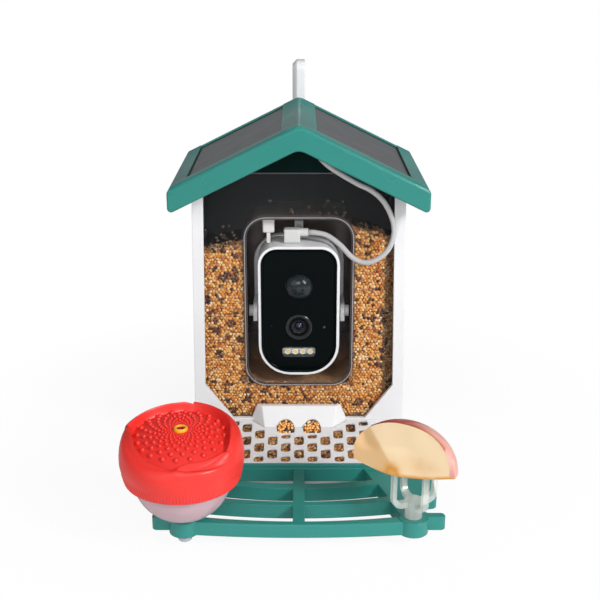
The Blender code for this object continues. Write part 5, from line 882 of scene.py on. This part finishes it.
def lid_lift(r, angle):
    """Rise of the petals: a wall whose foot steps in at each petal, and a crest that runs on outwards."""
    lift = np.zeros(np.broadcast(r, angle).shape)
    tall = 0.0005 + 0.0053 * towards_back(angle)
    for start, gap in PETALS:
        t = np.mod(angle - start, 2 * np.pi) / gap
        foot = 0.0322 + 0.0034 * (1 - eased(t / 0.3) + np.clip((t - 0.3) / 0.7, 0, 1) ** 1.3)
        crest = foot + 0.003 + 0.0085 * np.clip(t - 0.9, 0, 1)
        wall = tall * eased((r - foot) / 0.003)
        lift = np.maximum(lift, np.where(t < 1.02, wall, 0))
        ridge = 0.0017 * eased(t / 0.15) * (1 - eased((t - 1.25) / 0.55))
        width = np.where(r < crest, 0.001, 0.003)
        lift = lift + ridge * np.exp(-((r - crest) / width) ** 2) * (t < 1.8)
    return lift


print("petals", len(PETALS))

# %% Nectar lid: face, band, ribbed skirt and underside in one grid
LID_COLUMNS, BAND_FOOT = 480, 0.0687
BAND_DEPTH, RIBS = 0.0058, 60
angle = np.linspace(0, 2 * np.pi, LID_COLUMNS, endpoint=False)
all_round = np.ones(LID_COLUMNS)
face_r = np.concatenate([np.linspace(0.0032, 0.031, 14), np.linspace(0.0314, BROW, 34)])[:, None]
face_z = lid_dome(face_r, angle) + lid_lift(face_r, angle)
turn = np.linspace(0.05, np.pi / 2, 26)[:, None]
brow = face_z[-1] - lid_lift(BROW, angle) + 0.0056 * towards_back(angle)
# The petals' crests run on over the band and die away towards its foot.
crest_left = lid_lift(BROW + BAND_DEPTH * turn, angle) - 0.0005 - 0.0053 * towards_back(angle)
crest_left = crest_left * (1 - eased((turn - 1.2) / 0.37))
band_r = BROW + BAND_DEPTH * np.sin(turn) ** 0.95 + crest_left * np.sin(turn)
band_z = BAND_FOOT + (brow - BAND_FOOT) * np.cos(turn) ** 0.85 + crest_left * np.cos(turn)
skirt = np.linspace(0, 1, 22)[1:, None]
rib = 0.0003 * eased((skirt - 0.42) / 0.12) * (1 - eased((skirt - 0.95) / 0.05))
skirt_r = 0.0443 - 0.0031 * skirt**1.3 + rib * (np.abs(np.sin(angle * RIBS)) * 2 - 1)
skirt_z = (BAND_FOOT - 0.0145 * skirt) * all_round
under_r = np.array([0.0408, 0.0402, 0.04, 0.0394, 0.0385, 0.0376])[:, None]
under_z = np.array([0.054, 0.0541, 0.0548, 0.06, 0.072, 0.076])[:, None]
rows_r = np.vstack([face_r * all_round, band_r, skirt_r, under_r * all_round])
rows_z = np.vstack([face_z, band_z, skirt_z, under_z * all_round])
lid_points = np.stack([LID_X + rows_r * np.cos(angle), LID_Y + rows_r * np.sin(angle), rows_z], -1)
red = moulded("red_plastic", (0.86, 0.032, 0.024), 0.36, 900.0, 0.1)
lid = add_mesh("flower_lid", lid_points.reshape(-1, 3), grid_faces(len(rows_r), LID_COLUMNS, True)[:, ::-1],
               "nectar_top", red)
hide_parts("nectar_lid")

# %% [markdown]
# Round bumps stand on the face in nine rings of twenty, each second ring turned by half a step.
# They could be raised in the lid's grid, but it would need far finer lines. They are small domes
# of their own, whose foot sinks a little into the face, and they grow from ring to ring.

# %% Bumps on the lid
RINGS, PER_RING, KNOB_SIDES = 9, 20, 10
ring, step = np.divmod(np.arange(RINGS * PER_RING), PER_RING)
size = 0.00064 + 0.00122 * (ring / 8) ** 1.1
r = 0.0076 * 1.19 ** ring + rng.normal(scale=0.02 * size)
around = 2 * np.pi * (step + 0.5 * (ring % 2)) / PER_RING
knob_spots = np.stack([LID_X + r * np.cos(around), LID_Y + r * np.sin(around),
                       lid_dome(r, around) - 0.15 * size], -1)
rise, turn = np.meshgrid(np.linspace(0, np.pi / 2, 5)[:-1],
                         np.linspace(0, 2 * np.pi, KNOB_SIDES, endpoint=False), indexing="ij")
out = np.cos(rise) ** 0.8
knob = np.stack([out * np.cos(turn), out * np.sin(turn), 1.45 * np.sin(rise)], -1).reshape(-1, 3)
knob = np.vstack([knob, (0, 0, 1.45)])
quads = grid_faces(4, KNOB_SIDES, True)
cap = [(30 + s, 30 + (s + 1) % KNOB_SIDES, 40) for s in range(KNOB_SIDES)]
knobs = add_swarm("lid_bumps", knob_spots[:, None] + size[:, None, None] * knob,
                  np.vstack([quads[:, [0, 1, 2]], quads[:, [0, 2, 3]], cap]), "nectar_top", red)

# %% [markdown]
# A yellow ring stands round the hole that a bird drinks from, and the hole's throat is dark red:
# red plastic with painted shade for the depth of the hole. Two pieces could do it. One turned
# profile has both, and a face's height and row tell its colour.

# %% Port ring
PORT_SIDES = 48
port_points, port_faces = revolve([
    (0.0049, 0.0896), (0.005, 0.0914), (0.0047, 0.0923), (0.0041, 0.0926), (0.0034, 0.0924), (0.0029, 0.0917),
    (0.0027, 0.09), (0.0026, 0.086), (0.00002, 0.0859)], PORT_SIDES, (LID_X, LID_Y, 0.0))
port = add_mesh("port_ring", port_points, port_faces[:, ::-1], "nectar_top",
                moulded("port_yellow", (0.9, 0.46, 0.02), 0.36), sharp=60)
# The throat's dark red is partly the plastic's red and partly painted shade.
port.data.materials.append(moulded("port_throat_shaded", (0.42, 0.016, 0.012), 0.5))
height_of = port_points[port_faces][:, :, 2].mean(axis=1)
is_throat = (height_of < 0.0912) & (port_faces[:, 0] > 5 * PORT_SIDES)
port.data.polygons.foreach_set("material_index", is_throat.astype(np.int32))
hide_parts("nectar_port")

# %% [markdown]
# The bowl is milky pink and a little clear, and its stem is clear and grey. They could be two
# pieces, but the real one is a single moulding, so one turned profile makes it and the colour
# changes with height, just above the perch's boss.

# %% Nectar bowl
bowl_paint = moulded("bowl_plastic", (0.62, 0.43, 0.47), 0.22, 700.0, 0.08, 0.86)
above_stem = fade_along(bowl_paint, "Z", 0.0205, 0.0245)
tune(shader_of(bowl_paint), Base_Color=blended(above_stem, (0.55, 0.54, 0.6), colour_of(bowl_paint)))
bowl_profile = [(0.0356, 0.07), (0.0364, 0.07), (0.0366, 0.069), (0.0366, 0.064)]
bowl_profile += [(0.036 * np.cos(t), 0.0574 - 0.036 * np.sin(t)) for t in np.linspace(0, 1.333, 26)]
bowl_profile += [(0.007, 0.0219), (0.0056, 0.0216), (0.0055, 0.0205), (0.0055, 0.005), (0.0051, 0.0033),
                 (0.0042, 0.0024), (0.0026, 0.0021), (0.00002, 0.002)]
bowl_points, bowl_faces = revolve(bowl_profile, 96, (LID_X, LID_Y, 0.0))
bowl = add_mesh("nectar_cup", bowl_points, bowl_faces[:, ::-1], "nectar_feeder", bowl_paint, sharp=50)
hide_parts("nectar_bowl")

# %% [markdown]
# The apple wedge has a cut face to the front with a crease towards the core, a lower cut face that
# the fork's prongs go into, and red skin behind. It could be cut out of a ball with Booleans. A
# wedge made of cross-sections along the core follows the outline in the photograph more closely,
# because each section has its own height and depth. The sections are worked out in millimetres.

# %% Cross-sections of the apple
APPLE_CORE = np.array((0.0729, -0.2065, 0.06845))
APPLE_YAW, LEAN = math.radians(-30.0), math.radians(86.0)
SKIN_RADIUS, FLESH_HEIGHT, TALLEST_AT = 32.4, 30.8, -2.6
ON_FACE, ON_SKIN, SECTIONS = 26, 21, 72
along_core = np.array((math.cos(APPLE_YAW), math.sin(APPLE_YAW), 0.0))
behind_core = np.array((-math.sin(APPLE_YAW), math.cos(APPLE_YAW), 0.0))


def lower_edge(x):
    """Height of the cut face's lower edge: -8.4 (1 - ((x + 7) / 46)^2)^1.2."""
    return -8.4 * np.clip(1 - ((x + 7) / 46) ** 2, 0, None) ** 1.2


def apple_section(x):
    """One cross-section at x along the core, as (back, up) pairs: cut face, skin and lower face.

    The skin is a circle's arc, 32.4 sqrt(1 - (x / 38.9)^2), and the flesh's height is
    30.8 (1 - share^bulge)^power, where the share is the distance from the tallest place.
    """
    outer = SKIN_RADIUS * math.sqrt(max(1 - (x / 38.9) ** 2, 0.0004))
    share = min(abs(x - TALLEST_AT) / 37.2, 1.0)
    bulge, power = (2.7, 0.46) if x > TALLEST_AT else (1.9, 0.5)
    flesh = FLESH_HEIGHT * max(1 - share**bulge, 0.0004) ** power
    outer = max(outer, flesh + 0.2)
    front = np.linspace(lower_edge(x), flesh, ON_FACE)
    face = np.stack([front * math.cos(LEAN), front * math.sin(LEAN)], -1)
    share = np.linspace(0, 1, ON_SKIN + 1)[1:]
    radius = flesh + (outer - flesh) * np.sin(np.clip(share / 0.26, 0, 1) * np.pi / 2) ** 0.8
    skin = radius[:, None] * np.stack([np.cos(LEAN * (1 - share)), np.sin(LEAN * (1 - share))], -1)
    under = np.linspace(skin[-1], face[0], 12)[1:-1]
    return np.vstack([face, skin, under])


xs = 38.55 * np.sin(np.linspace(-np.pi / 2, np.pi / 2, SECTIONS))
sections = np.stack([apple_section(x) for x in xs])
print("apple sections", sections.shape)


# %% Hollow beside the crease, and the wedge
def crease_at(height):
    """Place along the core of the crease in the cut face, by height."""
    return np.interp(height, (-8.5, 0.6, 22.0, 33.0), (-11.0, -9.3, -26.5, -33.0))


x, up = xs[:, None], sections[..., 1]
row = np.arange(sections.shape[1])
hollow = eased((crease_at(up) - x) / 14.0) * 1.6 * eased((x + 38.7) / 9.0) * eased((up - 4.0) / 6.0)
hollow -= 1.5 * np.exp(-((x + 10) / 16) ** 2) * (1 - eased((up - 6.0) / 8.0))
uneven = 0.1 * np.sin(x * 0.21 + up * 0.13) + 0.05 * np.sin(up * 0.31)
back = sections[..., 0] + np.where(row < ON_FACE, hollow + uneven * (row < ON_FACE - 1), 0)
apple_points = (APPLE_CORE + xs[:, None, None] / 1000 * along_core + back[..., None] / 1000 * behind_core
                + up[..., None] / 1000 * np.array((0.0, 0.0, 1.0)))
flesh = moulded("apple_flesh", (0.93, 0.72, 0.45), 0.42, 700.0, 0.08, relief=0.00004)
tune(shader_of(flesh), Subsurface_Weight=0.1, Subsurface_Radius=(0.004, 0.002, 0.001))
skin = moulded("apple_skin", (0.6, 0.13, 0.085), 0.38, 500.0, 0.2)
apple_faces = closed(SECTIONS, len(row), flip=True)
apple = add_mesh("apple_slice", apple_points.reshape(-1, 3), apple_faces, None, flesh)
apple.data.materials.append(skin)
in_section = grid_faces(SECTIONS, len(row), True)[:, 0] % len(row)
is_skin = (in_section >= ON_FACE - 1) & (in_section < ON_FACE - 1 + ON_SKIN)
apple.data.polygons.foreach_set("material_index", np.append(is_skin, [True, True]).astype(np.int32))

# %% [markdown]
# The fork's four prongs go up into the wedge. They could simply pass through the flesh, but then
# two pieces would fill the same room, so a box for each prong is cut out with a Boolean.

# %% Slots for the prongs, cut in the wedge
FORK_X, FORK_Y, FORK_RADIUS = 0.0829, -0.1945, 0.0164
BOX_FACES = [(3, 2, 1, 0), (4, 5, 6, 7), (0, 1, 5, 4), (1, 2, 6, 5), (2, 3, 7, 6), (3, 0, 4, 7)]
for index in range(4):
    theta = math.radians(21.5) + index * math.pi / 2
    radial = np.array((math.cos(theta), math.sin(theta), 0.0))
    side = np.array((-math.sin(theta), math.cos(theta), 0.0))
    base = np.array((FORK_X, FORK_Y, 0.0)) + radial * FORK_RADIUS
    corners = [base + radial * a * 0.0017 + side * b * 0.0024 + np.array((0, 0, h))
               for h in (0.04, 0.0742) for a, b in ((-1, -1), (1, -1), (1, 1), (-1, 1))]
    box_mesh = bpy.data.meshes.new(f"prong_room_{index}")
    box_mesh.from_pydata([tuple(c) for c in corners], [], BOX_FACES)
    cutter = bpy.data.objects.new(f"prong_room_{index}", box_mesh)
    bpy.context.scene.collection.objects.link(cutter)
    room = apple.modifiers.new(f"room_{index}", "BOOLEAN")
    room.operation = "DIFFERENCE"
    room.solver = "EXACT"
    room.object = cutter
whole = bpy.data.meshes.new_from_object(apple.evaluated_get(bpy.context.evaluated_depsgraph_get()))
for room in list(apple.modifiers):
    bpy.data.objects.remove(room.object)
apple.modifiers.clear()
apple.data = whole
whole.shade_smooth()
whole.set_sharp_from_angle(angle=math.radians(32))
print("wedge with its slots", len(whole.polygons), "faces")

# %% [markdown]
# Cut apple browns: amber stains lie along the core and the lower edge. The flesh left of the
# crease is painted a darker tan as painted shade, since that side of the cut turns away from the
# light. The skin is painted redder on the left and lighter pink to the right, partly real blush and
# partly painted highlight, with fine streaks. An image could hold all this. Three values kept at
# the mesh's points do it too, and need no unwrapping.

# %% Stain, painted shade left of the crease, and redness with painted highlight, kept at the points
places = np.empty(len(whole.vertices) * 3, np.float32)
whole.vertices.foreach_get("co", places)
local = (places.reshape(-1, 3) - APPLE_CORE) * 1000
u = local @ along_core
v = local[:, 2]
# Painted shade on the cut face left of the crease, which turns away from the light.
facet_shade = eased((crease_at(v) - u) / 2.5 + 0.5)
stain = 1.6 * np.exp(-(((u + 7.5) / 5.0) ** 2) - ((v + 4.5) / 4.5) ** 2)
stain += 1.1 * np.exp(-((v - lower_edge(u)) / 1.6) ** 2) * eased((u + 26) / 16)
stain += 0.35 * np.exp(-(((u - 14) / 14) ** 2) - ((v - 3) / 6.0) ** 2)
edge_near = np.exp(-((local @ behind_core) / 3.2) ** 2)
# Redness of the skin falls towards the right: partly real blush, partly painted highlight on the side towards
# the light.
ripe_and_lit = np.clip(0.25 + (u + 12) / 42, 0, 1) * (1 - 0.75 * edge_near * (u < 30))
for label, values in (("facet_shade", facet_shade), ("stain", np.clip(stain, 0, 1)), ("ripe_and_lit", ripe_and_lit)):
    whole.attributes.new(label, "FLOAT", "POINT").data.foreach_set("value", values.astype(np.float32))
    print(label, "from", round(float(values.min()), 2), "to", round(float(values.max()), 2))

# %% Flesh and skin of the apple
# Left of the crease the flesh is painted a darker tan: painted shade.
shaded_left_side = blended(between(painted(flesh, "facet_shade"), 0.0, 0.85), colour_of(flesh), (0.76, 0.48, 0.215))
veins = between(speckle(flesh.node_tree, 90.0, 4.0), 0.1, 1.9)
soaked = reckon(flesh.node_tree, "MULTIPLY", painted(flesh, "stain"), veins)
tune(shader_of(flesh), Base_Color=blended(soaked, shaded_left_side, (0.66, 0.27, 0.01)))
tree = skin.node_tree
squeeze = add(tree, "ShaderNodeMapping", Vector=place(tree), Rotation=(0, 0, -APPLE_YAW), Scale=(0.14, 1, 1))
streaks = add(tree, "ShaderNodeTexNoise", Scale=140.0, Detail=3.0, Vector=squeeze.outputs[0]).outputs["Fac"]
blush = blended(between(streaks, -0.9, 1.6), (0.4, 0.075, 0.045), (0.76, 0.4, 0.26))
ripeness_and_highlight = painted(skin, "ripe_and_lit")
pinker = blended(ripeness_and_highlight, (0.4, 0.05, 0.036), blush)
# Lighter pink to the right: partly blush, partly painted highlight.
tune(shader_of(skin), Base_Color=blended(between(ripeness_and_highlight, -0.9, 0.75), pinker, (0.8, 0.42, 0.36)))
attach(apple, "apple")
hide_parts("apple_wedge")
paint(moulded("fork_plastic", (0.84, 0.85, 0.82), 0.08, 260.0, 0.05, 0.34, 0.00001), "fruit_fork")


# %% [markdown]
# The camera's face has a thin raised edge all round and concentric steps round the lens. Each ring
# could be a torus or a cylinder. A profile turned round a line to the front gives all the steps at
# once, with sharp edges where the profile bends.


# %% Edge of the camera's face
def camera_outline(inset):
    """The camera's outline, tighter at the top corners than at the foot, moved in by the inset."""
    return round_rect(0.033 - inset, 0.0747 + inset, 0.1851 - inset, 0.0155 - inset, 16, 0.0262 - inset)


face_edge = add_mesh("face_edge", *sleeve(
    (camera_outline(0.0022), -0.05895), (camera_outline(0.0023), -0.05935),
    (camera_outline(0.0037), -0.05935), (camera_outline(0.0046), -0.05847),
    (camera_outline(0.0046), -0.05835)), "camera", black, sharp=60)


# %% Lens
FACE_Y, LENS_Z, LED_Z = -0.0584, 0.1167, 0.0946


def turned(name, profile, sides, x, z, material, back=0.0):
    """A piece turned round a line to the front at (x, z), from (radius, distance in front) pairs."""
    points, faces = revolve(profile, sides, (0.0, 0.0, 0.0))
    points = np.stack([x + points[:, 0], FACE_Y + back - points[:, 2], z + points[:, 1]], -1)
    piece = add_mesh(name, points, faces, "camera", material, sharp=25)
    return piece


ring_black = moulded("lens_plastic", (0.012, 0.014, 0.015), 0.2, 900.0, 0.2, relief=0.000004)
ring = turned("lens_steps", [
    (0.0108, 0.0001), (0.0108, 0.0009), (0.0104, 0.0012), (0.0099, 0.0012), (0.0097, 0.0009),
    (0.0092, 0.0009), (0.009, 0.0006), (0.0082, 0.0004), (0.008, -0.0001), (0.0074, -0.0002),
    (0.0072, -0.0007), (0.0064, -0.0009), (0.0062, -0.0014), (0.0056, -0.0016), (0.0054, -0.0024)],
    72, 0.0, LENS_Z, ring_black)
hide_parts("lens_ring", "lens_barrel")
turned("lens_throat", [
    (0.0057, -0.0016), (0.005, -0.0018), (0.0048, -0.0024), (0.0043, -0.0025), (0.0041, -0.0031),
    (0.0036, -0.0032), (0.0036, -0.0042)], 60, 0.0, LENS_Z, ring_black)
lens_coat = moulded("lens_coat", (0.01, 0.012, 0.03), 0.03, 300.0, 0.5, relief=0.000001)
glass = turned("lens_bead", [
    (0.0001, -0.0012), (0.0012, -0.0013), (0.0024, -0.0018), (0.0034, -0.0027), (0.0037, -0.0034)],
    48, 0.0, LENS_Z, lens_coat)
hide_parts("lens_glass")
turned("lens_pupil", [(0.00001, -0.0009), (0.0007, -0.001), (0.0011, -0.0013)], 24, 0.0, LENS_Z,
       moulded("pupil_glass", (0.05, 0.06, 0.07), 0.08, 300.0, 0.2))

# %% [markdown]
# Under a clear cover below the lens lie four lamps on a pale strip, each a white frame round a
# yellow phosphor. Beside the lens are a microphone hole, a flat near-black disc that is painted
# shade for the hole's depth, and a light sensor. All are tiny, so two or three points of profile are
# enough for each.

# %% Lamps, microphone hole and light sensor
LAMP_BACK = 0.0027
paint(moulded("lamp_cover", (0.52, 0.53, 0.52), 0.06, 300.0, 0.1, 0.06, 0.000002), "led_window")
paint(moulded("lamp_board", (0.62, 0.62, 0.6), 0.35, 900.0, 0.2), "floodlight_leds")
lamp_white = moulded("lamp_frame", (0.95, 0.94, 0.92), 0.35)
phosphor = moulded("lamp_phosphor", (0.9, 0.66, 0.22), 0.3, 900.0, 0.2)
for index, x in enumerate((-0.0093, -0.0031, 0.0031, 0.0093)):
    turned(f"lamp_frame_{index}", [(0.0025, 0.00125), (0.0024, 0.0015), (0.0018, 0.0015), (0.0016, 0.00128)],
           28, x, LED_Z, lamp_white, LAMP_BACK)
    turned(f"lamp_phosphor_{index}", [(0.00001, 0.00134), (0.0017, 0.00132)], 28, x, LED_Z, phosphor,
           LAMP_BACK)
# The microphone hole is a flat disc painted near black: painted shade for its depth.
turned("microphone_hole", [(0.00001, 0.00002), (0.0006, 0.00003)], 16, -0.0223, 0.1175,
       moulded("hole_painted_shade", (0.0006, 0.0006, 0.0006), 0.6))
turned("light_sensor", [(0.00001, 0.00035), (0.0007, 0.0003), (0.001, 0.00004)], 20, 0.0208, 0.1165,
       moulded("sensor_glass", (0.05, 0.06, 0.065), 0.12))


# %% [markdown]
# The studio. The photograph's highlights and shadows tell of one lamp high on the right and weaker
# light from the left, the front and above. A sky picture could light the feeder as well, but area
# lamps can be read off the shadows one by one.


# %% Lamps of the studio
def soft_lamp(name, place_at, aim, size, watts):
    """A square area lamp that looks at a point."""
    data = bpy.data.lights.new(name, "AREA")
    data.size = size
    data.energy = watts
    lamp = bpy.data.objects.new(name, data)
    bpy.context.scene.collection.objects.link(lamp)
    lamp.location = place_at
    ahead = np.array(aim) - np.array(place_at)
    tip = math.atan2(math.hypot(ahead[0], ahead[1]), -ahead[2])
    lamp.rotation_euler = (tip, 0.0, math.atan2(ahead[1], ahead[0]) - math.pi / 2)
    print("lamp", name, watts, "W")


FEEDER = (0, -0.05, 0.12)
soft_lamp("key_lamp", (1.05, -1.05, 0.95), FEEDER, 0.4, 20)
soft_lamp("fill_lamp", (-0.9, -1.2, 0.7), FEEDER, 0.9, 2.4)
soft_lamp("front_lamp", (-0.1, -1.25, 0.75), FEEDER, 0.5, 3.0)
soft_lamp("top_lamp", (0.1, -0.2, 1.4), (0, 0, 0.15), 0.8, 1.5)


# %% [markdown]
# The floor is pale and fades into a white backdrop, but keeps the feeder's shadow. More light
# could bleach it, and would bleach the feeder too. So the floor glows white only for rays that
# come straight from the camera or through something clear, and more so away from the feeder.


# %% Floor
def seen_straight(tree):
    """1 for a ray from the camera or through something clear, 0 for any other."""
    ray = add(tree, "ShaderNodeLightPath")
    return reckon(tree, "MAXIMUM", ray.outputs["Is Camera Ray"], ray.outputs["Is Transmission Ray"])


def mixed_out(tree, output, amount, first, second):
    """Send (1 - amount) of one shader and the amount of another to the tree's output."""
    mix = add(tree, "ShaderNodeMixShader", Fac=amount)
    wire(first, mix.inputs[1])
    wire(second, mix.inputs[2])
    wire(mix.outputs[0], tree.nodes[output].inputs["Surface"])


floor_paint = finish("studio_floor", (0.94, 0.94, 0.94), 0.9)
tree = floor_paint.node_tree
away = reckon(tree, "LENGTH", place(tree), vector=True)
white_share = reckon(tree, "MULTIPLY", between(away, 0.88, 1.0, 0.1, 0.34), seen_straight(tree))
glow = add(tree, "ShaderNodeEmission", Strength=1.0, Color=(1, 1, 1))
mixed_out(tree, "Material Output", white_share, shader_of(floor_paint).outputs[0], glow.outputs[0])
floor_corners = [(-15, -15, -0.0005), (15, -15, -0.0005), (15, 15, -0.0005), (-15, 15, -0.0005)]
floor = add_mesh("studio_floor", floor_corners, [(0, 1, 2, 3)], None, floor_paint)

# %% [markdown]
# The world is white where the camera sees it. As a light it is a soft grey that is brighter from
# the front and from below, with a sheen from behind that only glossy surfaces mirror, as the
# roof's panels do in the photograph.

# %% World
world = bpy.data.worlds.new("studio")
bpy.context.scene.world = world
world.use_nodes = True
sky = world.node_tree
way = add(sky, "ShaderNodeTexCoord").outputs["Generated"]
front_way = reckon(sky, "DOT_PRODUCT", way, (0.1, -0.75, -0.65), vector=True)
soft = between(front_way, 0.14, 0.6, -0.9, 0.8)
back_way = reckon(sky, "DOT_PRODUCT", way, (0.0, 0.96, 0.28), vector=True)
sheen = between(back_way, 0.0, 0.26, 0.75, 1.0)
glossy = add(sky, "ShaderNodeLightPath").outputs["Is Glossy Ray"]
strength = reckon(sky, "MULTIPLY_ADD", sheen, glossy, soft)
plain = tune(sky.nodes["Background"], Color=(0.94, 0.97, 1.0), Strength=strength)
bright = add(sky, "ShaderNodeBackground", Color=(1, 1, 1))
mixed_out(sky, "World Output", seen_straight(sky), plain.outputs[0], bright.outputs[0])
print("world", len(sky.nodes), "nodes")
